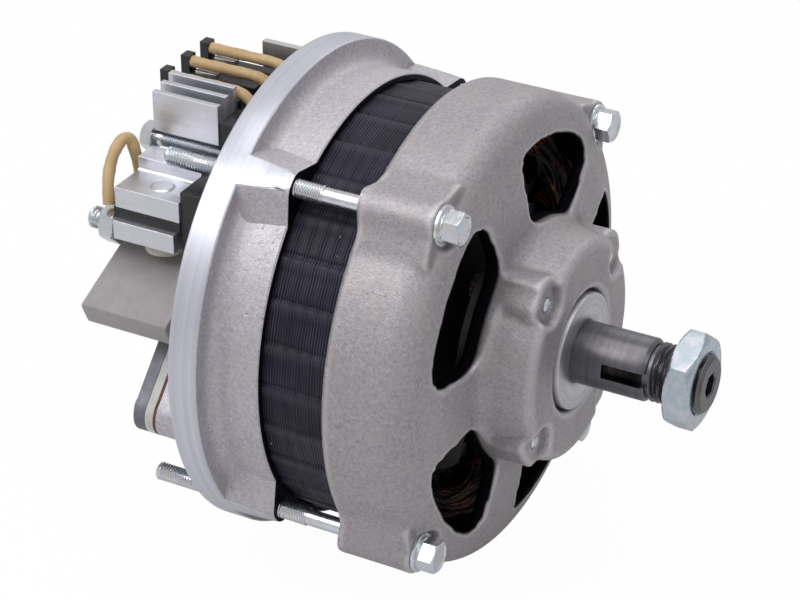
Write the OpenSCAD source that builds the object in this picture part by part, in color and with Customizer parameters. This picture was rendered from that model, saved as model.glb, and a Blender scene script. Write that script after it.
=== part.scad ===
// Compact claw-pole alternator, clamped by its rear flange.
// The shaft lies along X with the drive end at +X. X is 0 on the flange's rear face, Z is up.
// Every module is drawn along its own Z axis and laid along the shaft by along_shaft().

/* [Flange and rear housing] */
// Width of the mounting flange outside the circle of the bolts
flange_lip = 3.6; // [1.6:0.1:9.6]
// Thickness of the mounting flange
flange_t = 8.5; // [6:0.5:12]
// Thickness of the rear housing's wall round the stack
rear_side_t = 1.9; // [1.6:0.1:2.6]
// Width of the flange's flat rear face
flange_face_w = 11.5; // [8:0.5:13]
// Thickness of the rear housing's end wall
rear_floor_t = 4.5; // [3:0.5:6]
// Gap between the two housings, where the stator shows
stator_gap = 19.9; // [16:0.1:24]
// Distance from the flange's rear face to the rear housing's front rim
rear_rim_x = 23; // [21:0.5:28]

/* [Drive end housing] */
// Thickness of the drive end housing's wall round the stack
front_side_t = 5.3; // [4.6:0.1:6.6]
// Thickness of the drive end housing's wall
front_wall_t = 4.2; // [3:0.1:5]
// Length from the housing's rear rim to where its shoulder starts
front_side_l = 14.5; // [12:0.5:18]
// Length from the housing's rear rim to its hub face
front_hub_l = 42.1; // [41:0.1:46]
// Radius of the hub that holds the front bearing
hub_r = 30.5; // [30:0.5:32]
// Number of windows in the front face
window_count = 5; // [4:1:6]
// Inner radius of the windows
window_in_r = 33.5; // [33:0.5:36]
// Width of the shoulder outside the windows
window_rim = 9.9; // [8.7:0.1:14.7]
// Half of each window's angle
window_half = 25; // [18:0.5:27]

/* [Stator] */
// Outside radius of the lamination stack
stack_r = 59.4; // [58.5:0.1:59.8]
// Depth of the lamination stack from its outside to its bore
core_depth = 15.8; // [14.9:0.1:16.4]
// Depth of the seat that each housing has for the stack
stack_seat = 5.5; // [3:0.5:6]
// Number of slots
slot_count = 36; // [24:6:48]
// Width of a slot
slot_w = 3; // [2:0.1:3.6]
// Depth of the copper behind the slot's mouth
slot_copper = 8; // [6:0.5:9]
// Height of the winding beyond the stack at each end
end_turn_l = 10.8; // [7:0.1:11]

/* [Rotor] */
// Running gap between the rotor and the stack
air_gap = 0.4; // [0.3:0.1:0.8]
// Number of poles on each claw
pole_count = 6; // [5:1:7]
// Length over both claw discs
rotor_l = 42; // [38:0.5:42]
// Thickness of a claw disc
claw_t = 8; // [6:0.5:9]
// Thickness of a claw finger
finger_t = 6; // [4:0.5:7]
// Radius of the pole core inside the field coil
core_r = 21; // [18:0.5:23]
// Gap between the field coil and the claw fingers
coil_gap = 3.2; // [2.2:0.1:7.2]

/* [Shaft] */
// Radius of the shaft's drive end
shaft_r = 8.5; // [8:0.5:9]
// Length of the shaft past the hub face
shaft_out = 36.5; // [34:0.5:40]
// Thread radius at the shaft's end
thread_r = 8; // [7:0.5:8]
// Length of the threaded end
thread_l = 14.3; // [12:0.1:16]
// Width of the keyway
key_w = 4; // [3:0.5:5]
// Length of the keyway
key_l = 11.6; // [8:0.1:14]
// Depth of the keyway
key_d = 2.4; // [1.5:0.1:3]
// Distance across the nut's flats
nut_af = 24; // [22:1:27]
// Thickness of the nut
nut_t = 7; // [6:0.5:9]
// Radius of the spacer collar
collar_r = 15.9; // [14:0.1:16.2]

/* [Front bearing] */
// Outside radius of the front bearing
fb_out_r = 23.5; // [22:0.5:24]
// Width of the front bearing
fb_w = 14; // [12:0.5:14]
// Radius of a ball in the front bearing
fb_ball_r = 4.3; // [3.6:0.1:4.4]
// Number of balls in the front bearing
fb_balls = 7; // [6:1:8]

/* [Rear bearing] */
// Bore radius of the rear bearing
rb_in_r = 7.5; // [7:0.5:8]
// Outside radius of the rear bearing
rb_out_r = 17.5; // [16.5:0.5:18]
// Width of the rear bearing
rb_w = 11; // [10:0.5:12]
// Radius of a ball in the rear bearing
rb_ball_r = 2.9; // [2.4:0.1:3]
// Number of balls in the rear bearing
rb_balls = 8; // [7:1:9]

/* [Bolts] */
// Distance from the stack's outside to the axis of a through bolt
bolt_clear = 5; // [4.1:0.1:5.4]
// Radius of the bolt thread
bolt_r = 2.5; // [2:0.1:2.5]
// Length of each stud end behind the flange
stud_l = 15.5; // [10:0.5:20]
// Distance across the flats of a bolt head
bolt_af = 8; // [7:0.5:9]
// Height of a bolt head
bolt_head_t = 5; // [4:0.5:6]
// Turn of the bolt circle about the shaft
bolt_clock = 37.7; // [30:0.1:45]
// Radius of the circle of the bearing retainer screws
retainer_circle_r = 27.3; // [27:0.1:28]
// Radius of a retainer screw
retainer_screw_r = 2; // [1.5:0.1:2.2]

/* [Slip rings and brushes] */
// Outside radius of the slip rings
ring_r = 13; // [12:0.5:14]
// Width of a slip ring
ring_w = 4.6; // [4:0.1:5]
// Distance between the two slip rings' centres
ring_pitch = 6; // [5.6:0.1:7]
// Width of a brush along the shaft
brush_w = 3.6; // [3:0.1:4]
// Width of a brush across the shaft
brush_h = 6.4; // [5:0.1:7]
// Length of a brush
brush_l = 14; // [10:0.5:15]
// Travel of a brush away from its ring
brush_travel = 4; // [2:0.5:5]
// Angle of the brush gear round the shaft
brush_angle = 194; // [190:1:198]

/* [Rectifier] */
// Length of the finned heat sink along the shaft
sink_l = 20; // [16:0.5:22]
// Distance of the finned heat sink behind the flange's rear face
sink_back = 8; // [7:0.5:10]
// Thickness of a fin
fin_t = 1.7; // [1.2:0.1:2]
// Distance between fins
fin_pitch = 4; // [3.5:0.1:4.5]
// Depth of the grooves between the fins
fin_depth = 8; // [5:0.5:8.5]
// Length of the lower sinks along the shaft
block_l = 19.5; // [16:0.5:20]
// Distance of the lower sinks behind the flange's rear face
block_back = 7; // [6:0.5:8]
// Radius of the output stud
stud_b_r = 3; // [2.5:0.5:3]
// Length of the output stud behind the lower sink
stud_b_l = 10.5; // [8:0.5:14]
// Radius of a stator lead's sleeve
lead_r = 1.5; // [1.2:0.1:1.6]
// Radius of a diode's can
diode_r = 4.5; // [4:0.5:5]

/* [Capacitor and regulator] */
// Length of the capacitor
cap_l = 26; // [20:1:30]
// Width of the capacitor
cap_w = 26; // [20:1:27]
// Thickness of the capacitor
cap_t = 8; // [6:0.5:9]
// Thickness of the regulator's cast cover
cover_t = 3.5; // [2.5:0.5:5]
// Thickness of the brush holder's base
holder_t = 2.5; // [2:0.5:3]
// Thickness of the gasket
gasket_t = 0.8; // [0.5:0.1:1.2]
// Height of the cast pad under the gasket
pad_t = 7; // [5:0.5:8]

/* [Hidden] */
$fn = 96;

// Clearances, radial where they are round
fit = 0.03;
slide = 0.1;
roll = 0.15;
loose = 0.4;
cut = 1;

// Planes along the shaft
front_rim_x = rear_rim_x + stator_gap;
hub_x = front_rim_x + front_hub_l;
stack_x0 = rear_rim_x - stack_seat;
stack_x1 = front_rim_x + stack_seat;
rotor_mid = (stack_x0 + stack_x1) / 2;
rotor_x0 = rotor_mid - rotor_l / 2;
rotor_x1 = rotor_mid + rotor_l / 2;
fb_lip = 5;
fb_x1 = hub_x - fb_lip;
fb_x0 = fb_x1 - fb_w;
rb_shoulder = 2.5;
rb_x1 = rear_floor_t - rb_shoulder;
rb_x0 = rb_x1 - rb_w;
retainer_t = 2.5;
face_x = hub_x - 14.6;
shaft_x1 = hub_x + shaft_out;
collar_proud = 0.8;

// Radii that follow from others
stack_bore_r = stack_r - core_depth;
rear_wall_r = stack_r + rear_side_t;
front_wall_r = stack_r + front_side_t;
window_out_r = front_wall_r - window_rim;
crown_r = front_wall_r - 14.7;
bolt_circle_r = stack_r + bolt_clear;
flange_r = bolt_circle_r + flange_lip;
rotor_r = stack_bore_r - air_gap;
coil_r = rotor_r - finger_t - coil_gap;
bolt_hole_r = bolt_r + slide / 2;
fb_pitch_r = (shaft_r + fb_out_r) / 2;
rb_pitch_r = (rb_in_r + rb_out_r) / 2;
race_t = 0.3;
retainer_lug_r = 6.3;
boss_r = 6.2;
boss_foot = 12;
rear_boss_r = 5.4;
rear_boss_flat = 3.8;
rear_boss_foot = 13;
rear_boss_drop = 1.9;
rear_boss_lean = atan(rear_boss_drop / (rear_rim_x - flange_t));
rear_boss_taper = 0.15;
inlet_in_r = rb_out_r + 10.5;
inlet_out_r = stack_r - 9.4;
inlet_half = 19;
rotor_seat_r = shaft_r + 1;
shoulder_r = shaft_r + 2.5;
hub_hole_r = collar_r + 1;
retainer_out_r = retainer_circle_r + 3.7;

// Through bolts
bolt_seat_x = hub_x - 21;
washer_t = 1;
tapped_r = bolt_r - 0.2;
shank_r = bolt_r - 0.3;
thread_to_x = rear_rim_x + 8;
bolt_head_x = bolt_seat_x + washer_t;
spot_r = bolt_af / 2 + 2.2;

// Slip rings, behind the rear bearing
slip_x1 = rb_x0 - 1.2;
slip_l = ring_pitch + ring_w + 0.8;
ring_front_x = slip_x1 - 0.4 - ring_w / 2;
ring_rear_x = ring_front_x - ring_pitch;
tail_r = rb_in_r - 1.5;
tail_x = slip_x1 - slip_l;
slip_hub_r = ring_r - 2;

// Brush gear, drawn along the direction of its angle
box_wall = 1.3;
brush_tip_r = ring_r + 0.06;
brush_back_r = brush_tip_r + brush_l;
spring_l = brush_travel + 4;
box_in_r = ring_r + 1.2;
box_end_r = brush_back_r + spring_l;
box_out_r = box_end_r + 1.6;
holder_x0 = -pad_t - gasket_t - holder_t;
cover_x0 = holder_x0 - cover_t;
ear_at = flange_r - 8;
ear_r = 6;
base_in = 25;
base_half = 16;
base_out = 48;
inner_screw_at = 43;
inner_screw_y = 11;

// Rectifier outlines across the shaft, in Y and Z
fin_y = -26.7;
fin_top = 60.9;
fin_rise = 1;
fin_low = 49.6;
sink_screw = [-25, 46.8];
sink_screw_r = 2;
sink_screw_af = 7;
sink_x1 = -sink_back;
sink_x0 = sink_x1 - sink_l;
bar_y = -50;
bar_z0 = 28.9;
bar_t = 5.3;
strip_t = 3.2;
block_y = -48.4;
block_z0 = bar_z0 + bar_t + strip_t;
block_t = 5.8;
block_x1 = -block_back;
block_x0 = block_x1 - block_l;
block_in_y = -30;
ledge_y = -37;
ledge_z = 47;
rivet_at = [-15.5, -42.5];
rivet_r = 2;
bush_r = 5.4;
stud_at = [-44, 29.9];
nut_b_af = 10;
nut_b_t = 4.5;
washer_b_t = 1;
stud_b_tapped_r = stud_b_r - 0.2;
nut_b_x0 = block_x0 - washer_b_t - nut_b_t;
carrier_t = 4;
lead_y = [-15.2, -5, 4.6];
lead_z = 60.3;
post_z = 57.6;
post_w = 3.4;
hook_x0 = sink_x0 - 2.2;
plate_y = 12;
plate_t = 2;
plate_x0 = -17;
cooling_z = 62.4;
cooling_foot = [40, 40];
cooling_foot_h = 7;
diode_z = 42;
sink_diode_y = [-6.5, 4];
earth_diode_y = [20, 29];
earth_diode_z = 43.5;
sink_pad_z = ledge_z + 13;
base_plate_t = 3.2;
exciter_y = [lead_y[0] + 5.1, lead_y[1] + 4.8];
exciter_z = 55.4;

// Capacitor, turned about the shaft's direction
cap_corner = [6.1 - flange_r, 14];
cap_turn = 24;
cap_x1 = -4;
cap_x0 = cap_x1 - cap_l;
bracket_t = 1.2;
bracket_screw_u = 31.5;

// Axial ring with a bore
module tube(r, bore, x0, x1) {
  translate([0, 0, x0])
    difference() {
      cylinder(r = r, h = x1 - x0);
      translate([0, 0, -cut]) cylinder(r = bore, h = x1 - x0 + 2 * cut);
    }
}

// Solid cylinder between two planes along the shaft
module rod(r, x0, x1) {
  translate([0, 0, x0]) cylinder(r = r, h = x1 - x0);
}

// Hexagonal prism with its corners turned down by a cone at one end
module hex_head(af, t) {
  intersection() {
    cylinder(r = af / sqrt(3), h = t, $fn = 6);
    rotate_extrude()
      polygon([[0, 0], [af * 0.62, 0], [af * 0.62, t - af * 0.1], [af * 0.47, t], [0, t]]);
  }
}

module along_shaft() {
  rotate([90, 0, 90]) children();
}

// Copies at the four bolt positions
module at_bolts(circle_r = bolt_circle_r) {
  for (i = [0:3])
    rotate([0, 0, bolt_clock + 90 * i]) translate([circle_r, 0, 0]) children();
}

// Box given by its low and high corners across and along the shaft
module block(low, high) {
  translate(low) cube(high - low);
}

// Rounded window, an even power curve in radius and angle
function power(v, n) = sign(v) * pow(abs(v), n);
function window_point(t, in_r, out_r, half) =
  let (
    r = (in_r + out_r) / 2 + (out_r - in_r) / 2 * power(sin(t), 0.42),
    lean = 1 - 0.12 * (out_r - r) / (out_r - in_r),
    a = half * lean * power(cos(t), 0.42)
  )
  [r * cos(a), r * sin(a)];

module window_outline(in_r, out_r, half) {
  polygon([for (t = [0:7.5:359]) window_point(t, in_r, out_r, half)]);
}

// Outline points of an arc about a centre
function arc(cx, cy, r, from, to, steps = 8) =
  [for (i = [0:steps]) let (a = from + (to - from) * i / steps) [cx + r * cos(a), cy + r * sin(a)]];

module drive_end_housing() {
  shoulder_x = front_rim_x + front_side_l;
  edge = 8.5;
  root = 5;
  color([0.66, 0.65, 0.64])
    along_shaft()
      difference() {
        union() {
          // Side, shoulder, crowned face and the hollow fillet at the hub's foot
          rotate_extrude()
            polygon(concat(
              [[0, front_rim_x], [front_wall_r - 1, front_rim_x], [front_wall_r, front_rim_x + 1.2]],
              arc(front_wall_r - edge, shoulder_x + 1.4, edge, 0, 72),
              [[crown_r, face_x - 0.6], [hub_r + root + 1.4, face_x + 0.5]],
              arc(hub_r + root + 1.4, face_x + 0.5 + root, root, -90, -172),
              arc(hub_r - 3, hub_x - 3, 3, 0, 90),
              [[0, hub_x]]
            ));
          // Bosses that the through bolts pass through, with sloping feet on the side
          at_bolts() {
            rod(boss_r, front_rim_x, bolt_seat_x);
            translate([0, 0, front_rim_x])
              linear_extrude(height = bolt_seat_x - front_rim_x)
                polygon([[-6, -boss_foot - 1], [-0.8, -boss_foot], [boss_r * 0.5, -boss_r * 0.87],
                         [boss_r * 0.5, boss_r * 0.87], [-0.8, boss_foot], [-6, boss_foot + 1]]);
          }
          // Lugs for the retainer screws
          at_bolts(retainer_circle_r) rod(retainer_lug_r + 1.2, face_x, hub_x - 2.6);
        }
        // Inside of the shell
        rotate_extrude()
          polygon(concat(
            [[0, front_rim_x - cut], [stack_r + fit, front_rim_x - cut], [stack_r + fit, stack_x1],
             [stack_r - 1.6, stack_x1]],
            arc(stack_r - 1.6 - 5, shoulder_x + 0.6, 5, 0, 70),
            [[crown_r, face_x - front_wall_t - 0.5], [hub_r + 1, face_x - front_wall_t],
             [hub_r + 1, fb_x0], [0, fb_x0]]
          ));
        rod(fb_out_r + fit, fb_x0 - cut, fb_x1);
        rod(hub_hole_r, fb_x0, hub_x + cut);
        // Windows
        for (i = [0:window_count - 1])
          rotate([0, 0, 360 / window_count * i])
            translate([0, 0, stack_x1 + 2])
              linear_extrude(height = 40) window_outline(window_in_r, window_out_r, window_half);
        // Bolt holes and the flats that the heads sit on
        at_bolts() rod(bolt_hole_r, front_rim_x - cut, bolt_seat_x + cut);
        at_bolts() rod(spot_r, bolt_seat_x, hub_x);
        // Stack clearance where a boss reaches inside
        rod(stack_r + fit, front_rim_x - cut, stack_x1);
        // Retainer screw holes and the scallops round their ends
        at_bolts(retainer_circle_r) rod(retainer_screw_r + fit, fb_x0 - cut, hub_x);
        at_bolts(retainer_circle_r + 1.5) rod(retainer_lug_r - 0.6, hub_x - 2.6, hub_x + cut);
      }
}

module rear_housing() {
  root = 4;
  wall_in_r = stack_r - 2.4;
  color([0.72, 0.72, 0.72])
    along_shaft()
      difference() {
        union() {
          rotate_extrude()
            polygon(concat(
              [[0, 0], [flange_r - 0.4, 0], [flange_r, 0.4], [flange_r, flange_t - 0.4],
               [flange_r - 0.4, flange_t], [rear_wall_r + root, flange_t]],
              arc(rear_wall_r + root, flange_t + root, root, -90, -180),
              [[rear_wall_r, rear_rim_x - 0.6], [rear_wall_r - 0.6, rear_rim_x], [0, rear_rim_x]]
            ));
          // Boss round each bolt, leaning in towards the rim and turned down to the flange's radius
          intersection() {
            at_bolts() translate([0, 0, flange_t]) rotate([0, -rear_boss_lean, 0]) rear_boss();
            rotate_extrude()
              polygon([[rear_wall_r - 6, flange_t - 1], [flange_r - 0.5, flange_t - 1], [flange_r, flange_t - 0.4],
                       [flange_r - rear_boss_taper, rear_rim_x], [rear_wall_r - 6, rear_rim_x]]);
          }
          // Rear bearing hub, regulator pad and capacitor pad
          rod(rb_out_r + 4.5, rb_x0 - 0.5, 1);
          rotate([0, 0, brush_angle]) translate([0, 0, -pad_t])
            linear_extrude(height = pad_t + 1) regulator_outline();
          at_capacitor_screw() rod(4.5, cap_x1 + bracket_t, 1);
        }
        // Space for the rear end turns and the seat of the stack
        rod(wall_in_r, rear_floor_t, rear_rim_x);
        rod(stack_r + fit, stack_x0, rear_rim_x + cut);
        // Rear bearing seat and shaft opening
        rod(rb_out_r + fit, rb_x0 - 2, rb_x1);
        rod(rb_in_r + 5, rb_x1 - cut, rear_floor_t + cut);
        // Tapped holes for the bolts, at the mean radius of their thread
        at_bolts() rod(tapped_r + fit, -cut, rear_rim_x + cut);
        // Air inlets in the end wall
        for (a = [0, 60, 240, 300])
          rotate([0, 0, a]) translate([0, 0, -cut])
            linear_extrude(height = rear_floor_t + 2 * cut)
              window_outline(inlet_in_r, inlet_out_r, inlet_half);
        // Opening that the three stator leads come out of
        block([lead_y[0] - 3, 49.5, -cut], [lead_y[2] + 3, 55.5, rear_floor_t + cut]);
        // Pocket behind the flange ring, open to the rear
        difference() {
          rod(flange_r - flange_face_w, -cut, 1.5);
          rod(rb_out_r + 7, -2 * cut, 2);
          rotate([0, 0, brush_angle]) translate([0, 0, -2 * cut]) linear_extrude(height = 4) regulator_outline();
          at_capacitor_screw() rod(4.5, -2 * cut, 2);
          // Pads that the rectifier stands on
          block([-flange_r, bar_z0 - 9, -2 * cut], [block_in_y + 10, sink_pad_z, 2]);
          block([sink_screw[0] - 3, ledge_z - 9, -2 * cut], [plate_y + 4, sink_pad_z, 2]);
        }
        // Opening for the brush box
        rotate([0, 0, brush_angle]) regulator_hole_cuts(-pad_t - cut, rear_floor_t - 1.5);
        at_capacitor_screw() rod(1.5 + fit, cap_x1, rear_floor_t - 1);
        at_sink_screws() rod(sink_screw_r + fit, -cut, rear_floor_t - 0.5);
      }
}

// Rod and sloping flanks of a boss on the rear housing, drawn round its bolt
module rear_boss() {
  boss_l = rear_rim_x - flange_t + 2;
  rod(rear_boss_r, -2, boss_l);
  translate([0, 0, -2])
    linear_extrude(height = boss_l + 2)
      polygon([[-6, -rear_boss_foot], [rear_boss_flat, -rear_boss_flat],
               [rear_boss_flat, rear_boss_flat], [-6, rear_boss_foot]]);
}

module at_sink_screws() {
  translate([sink_screw[0], sink_screw[1], 0]) children();
}

module at_capacitor_screw() {
  translate([cap_corner[0], cap_corner[1], 0])
    rotate([0, 0, cap_turn]) translate([bracket_screw_u, -cap_t / 2, 0]) children();
}

// Outline of the regulator: a body near the shaft and an ear on the rim
module regulator_outline(from = base_in + 13) {
  translate([ear_at, 0]) circle(r = ear_r);
  polygon([[from, -base_half], [base_out - 2, -base_half], [base_out, -base_half + 1.5],
           [ear_at + 2.4, -5.5], [ear_at + 2.4, 5.5], [base_out, base_half - 1.5],
           [base_out - 2, base_half], [from, base_half]]);
}

module at_regulator_screws() {
  translate([ear_at, 0, 0]) children();
  for (s = [-1, 1]) translate([inner_screw_at, s * inner_screw_y, 0]) children();
}

module regulator_hole_cuts(x0, x1) {
  at_regulator_screws() rod(1.75, x0, x1);
}

module regulator_gasket() {
  color([0.36, 0.20, 0.12])
    along_shaft() rotate([0, 0, brush_angle])
      difference() {
        translate([0, 0, -pad_t - gasket_t]) linear_extrude(height = gasket_t) regulator_outline();
        regulator_hole_cuts(-pad_t - gasket_t - cut, -pad_t + cut);
      }
}

// Base plate with a box that guides both brushes
module brush_holder() {
  box_x0 = ring_rear_x - brush_w / 2 - box_wall;
  half = brush_h / 2 + box_wall;
  color([0.90, 0.89, 0.85])
    along_shaft() rotate([0, 0, brush_angle])
      difference() {
        union() {
          translate([0, 0, holder_x0]) linear_extrude(height = holder_t) regulator_outline();
          block([box_in_r, -half, box_x0], [box_out_r, half, holder_x0]);
          block([rb_out_r + 6.5, -half, holder_x0 - 0.5], [box_out_r, half, holder_x0 + holder_t]);
          block([box_out_r - 1, -half, holder_x0], [base_in + 14, half, holder_x0 + holder_t]);
        }
        for (x = [ring_front_x, ring_rear_x])
          block([box_in_r - cut, -brush_h / 2 - slide, x - brush_w / 2 - slide],
                [box_end_r, brush_h / 2 + slide, x + brush_w / 2 + slide]);
        regulator_hole_cuts(holder_x0 - cut, -pad_t);
      }
}

// Cast cover over the control circuit, stepped round its three screws
module regulator_cover() {
  color([0.52, 0.55, 0.60])
    along_shaft() rotate([0, 0, brush_angle])
      difference() {
        union() {
          translate([0, 0, cover_x0]) linear_extrude(height = cover_t) regulator_outline(box_out_r + 0.4);
          block([box_out_r + 1, -6.2, cover_x0 - 2.4], [ear_at - 9, 6.2, cover_x0 + cut]);
        }
        regulator_hole_cuts(cover_x0 - cut, holder_x0);
      }
}

module regulator_screws() {
  color([0.80, 0.81, 0.80])
    along_shaft() rotate([0, 0, brush_angle])
      at_regulator_screws() {
        rod(1.7, cover_x0, rear_floor_t - 2);
        difference() {
          translate([0, 0, cover_x0 - 2]) cylinder(r1 = 2.6, r2 = 3.2, h = 2);
          block([-4, -0.5, cover_x0 - 3], [4, 0.5, cover_x0 - 1.1]);
        }
      }
}

// Coil spring, drawn as a ring of turns side by side
module brush_spring(x) {
  wire = 0.35;
  coil_radius = 1.4;
  turns = 6;
  color([0.70, 0.70, 0.72])
    along_shaft() rotate([0, 0, brush_angle])
      translate([brush_back_r, 0, x]) rotate([0, 90, 0])
        for (i = [0:turns - 1])
          translate([0, 0, wire + (spring_l - 2 * wire) * i / (turns - 1)])
            rotate_extrude() translate([coil_radius, 0]) circle(r = wire, $fn = 16);
}

module brush_spring_front() { brush_spring(ring_front_x); }
module brush_spring_rear() { brush_spring(ring_rear_x); }

module carbon_brush(x) {
  color([0.16, 0.16, 0.17])
    along_shaft() rotate([0, 0, brush_angle])
      block([brush_tip_r, -brush_h / 2, x - brush_w / 2], [brush_back_r, brush_h / 2, x + brush_w / 2]);
}

module carbon_brush_front() { carbon_brush(ring_front_x); }
module carbon_brush_rear() { carbon_brush(ring_rear_x); }

module stator_core() {
  mouth_w = slot_w * 0.55;
  color([0.10, 0.10, 0.14])
    along_shaft()
      translate([0, 0, stack_x0])
        linear_extrude(height = stack_x1 - stack_x0)
          difference() {
            circle(r = stack_r, $fn = 180);
            circle(r = stack_bore_r, $fn = 180);
            for (i = [0:slot_count - 1])
              rotate(360 / slot_count * i) {
                translate([stack_bore_r + 1.7, -slot_w / 2]) square([slot_copper + 0.6, slot_w]);
                translate([stack_bore_r - 1, -mouth_w / 2]) square([4, mouth_w]);
              }
          }
}

// Bars in the slots joined by a bundle of end turns at each end
module stator_winding() {
  bar_w = slot_w - 0.4;
  in_r = stack_bore_r + 2;
  out_r = in_r + slot_copper;
  gap = 0.3;
  crown = 2.6;
  color([0.30, 0.12, 0.08])
    along_shaft() {
      for (i = [0:slot_count - 1])
        rotate([0, 0, 360 / slot_count * i])
          block([in_r, -bar_w / 2, stack_x0 - gap - 1], [out_r, bar_w / 2, stack_x1 + gap + 1]);
      for (side = [0, 1])
        translate([0, 0, side == 0 ? stack_x0 - gap : stack_x1 + gap])
          mirror([0, 0, side == 0 ? 1 : 0])
            rotate_extrude()
              polygon([[in_r, 0], [out_r + 2.4, 0], [out_r + 3, end_turn_l * 0.4],
                       [out_r + 3 - crown, end_turn_l], [in_r + crown - 1, end_turn_l],
                       [in_r - 0.2, end_turn_l * 0.6]]);
    }
}

module bearing_retainer_plate() {
  color([0.60, 0.60, 0.62])
    along_shaft()
      difference() {
        rod(retainer_out_r, fb_x0 - retainer_t, fb_x0);
        rod(fb_out_r - 5, fb_x0 - retainer_t - cut, fb_x0 + cut);
        at_bolts(retainer_circle_r) rod(retainer_screw_r + fit, fb_x0 - retainer_t - cut, fb_x0 + cut);
      }
}

module retainer_screws() {
  color([0.84, 0.86, 0.88])
    along_shaft()
      at_bolts(retainer_circle_r) {
        rod(retainer_screw_r, fb_x0 - retainer_t, hub_x - 2.2);
        difference() {
          rod(3.4, fb_x0 - retainer_t - 2.2, fb_x0 - retainer_t);
          block([-4, -0.4, fb_x0 - retainer_t - 3], [4, 0.4, fb_x0 - retainer_t - 1.2]);
        }
      }
}

// Race of a ball bearing, with the groove that the balls run in
module race(in_r, out_r, x0, w, pitch_r, ball_r) {
  difference() {
    tube(out_r, in_r, x0, x0 + w);
    translate([0, 0, x0 + w / 2])
      rotate_extrude() translate([pitch_r, 0]) circle(r = ball_r + roll, $fn = 48);
  }
}

function inner_race_r(pitch_r, ball_r) = pitch_r - ball_r * 0.66;
function outer_race_r(pitch_r, ball_r) = pitch_r + ball_r * 0.66;

// Two thin shields held in the outer race
module shields(x0, w, pitch_r, ball_r) {
  for (x = [x0 + race_t, x0 + w - race_t - 0.5])
    tube(outer_race_r(pitch_r, ball_r), inner_race_r(pitch_r, ball_r) + loose, x, x + 0.5);
}

module balls(x0, w, pitch_r, ball_r, count) {
  for (i = [0:count - 1])
    rotate([0, 0, 360 / count * i]) translate([pitch_r, 0, x0 + w / 2]) sphere(r = ball_r, $fn = 48);
}

// Ring with a round pocket for each ball
module cage(x0, w, pitch_r, ball_r, count) {
  half = ball_r * 0.66 - loose;
  rim = w / 2 - race_t - 0.9;
  difference() {
    tube(pitch_r + half, pitch_r - half, x0 + w / 2 - rim, x0 + w / 2 + rim);
    for (i = [0:count - 1])
      rotate([0, 0, 360 / count * i]) translate([pitch_r - ball_r, 0, x0 + w / 2])
        rotate([0, 90, 0]) cylinder(r = ball_r + roll, h = 2 * ball_r, $fn = 48);
  }
}

module front_bearing_outer_race() {
  color([0.62, 0.63, 0.65]) along_shaft()
    race(outer_race_r(fb_pitch_r, fb_ball_r), fb_out_r, fb_x0, fb_w, fb_pitch_r, fb_ball_r);
}
module front_bearing_inner_race() {
  color([0.62, 0.63, 0.65]) along_shaft()
    race(shaft_r + fit, inner_race_r(fb_pitch_r, fb_ball_r), fb_x0, fb_w, fb_pitch_r, fb_ball_r);
}
module front_bearing_shields() {
  color([0.55, 0.55, 0.57]) along_shaft() shields(fb_x0, fb_w, fb_pitch_r, fb_ball_r);
}
module front_bearing_balls() {
  color([0.80, 0.80, 0.82]) along_shaft() balls(fb_x0, fb_w, fb_pitch_r, fb_ball_r, fb_balls);
}
module front_bearing_cage() {
  color([0.70, 0.60, 0.38]) along_shaft() cage(fb_x0, fb_w, fb_pitch_r, fb_ball_r, fb_balls);
}
module rear_bearing_outer_race() {
  color([0.62, 0.63, 0.65]) along_shaft()
    race(outer_race_r(rb_pitch_r, rb_ball_r), rb_out_r, rb_x0, rb_w, rb_pitch_r, rb_ball_r);
}
module rear_bearing_inner_race() {
  color([0.62, 0.63, 0.65]) along_shaft()
    race(rb_in_r + fit, inner_race_r(rb_pitch_r, rb_ball_r), rb_x0, rb_w, rb_pitch_r, rb_ball_r);
}
module rear_bearing_shields() {
  color([0.55, 0.55, 0.57]) along_shaft() shields(rb_x0, rb_w, rb_pitch_r, rb_ball_r);
}
module rear_bearing_balls() {
  color([0.80, 0.80, 0.82]) along_shaft() balls(rb_x0, rb_w, rb_pitch_r, rb_ball_r, rb_balls);
}
module rear_bearing_cage() {
  color([0.70, 0.60, 0.38]) along_shaft() cage(rb_x0, rb_w, rb_pitch_r, rb_ball_r, rb_balls);
}

// Long bolts whose rear ends stand out as the mounting studs
module through_bolts() {
  chamfer = 0.6;
  color([0.84, 0.86, 0.88])
    along_shaft()
      at_bolts() {
        rotate_extrude()
          polygon([[0, -stud_l], [bolt_r - chamfer, -stud_l], [bolt_r, -stud_l + chamfer],
                   [bolt_r, 0], [tapped_r, 0], [tapped_r, thread_to_x], [shank_r, thread_to_x + 0.5],
                   [shank_r, bolt_head_x + 0.5], [0, bolt_head_x + 0.5]]);
        translate([0, 0, bolt_head_x]) rotate([0, 0, 12]) hex_head(bolt_af, bolt_head_t);
      }
}

module bolt_washers() {
  color([0.80, 0.82, 0.84])
    along_shaft() at_bolts() tube(bolt_af / 2 + 1.4, bolt_r + slide, bolt_seat_x, bolt_head_x);
}

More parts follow.
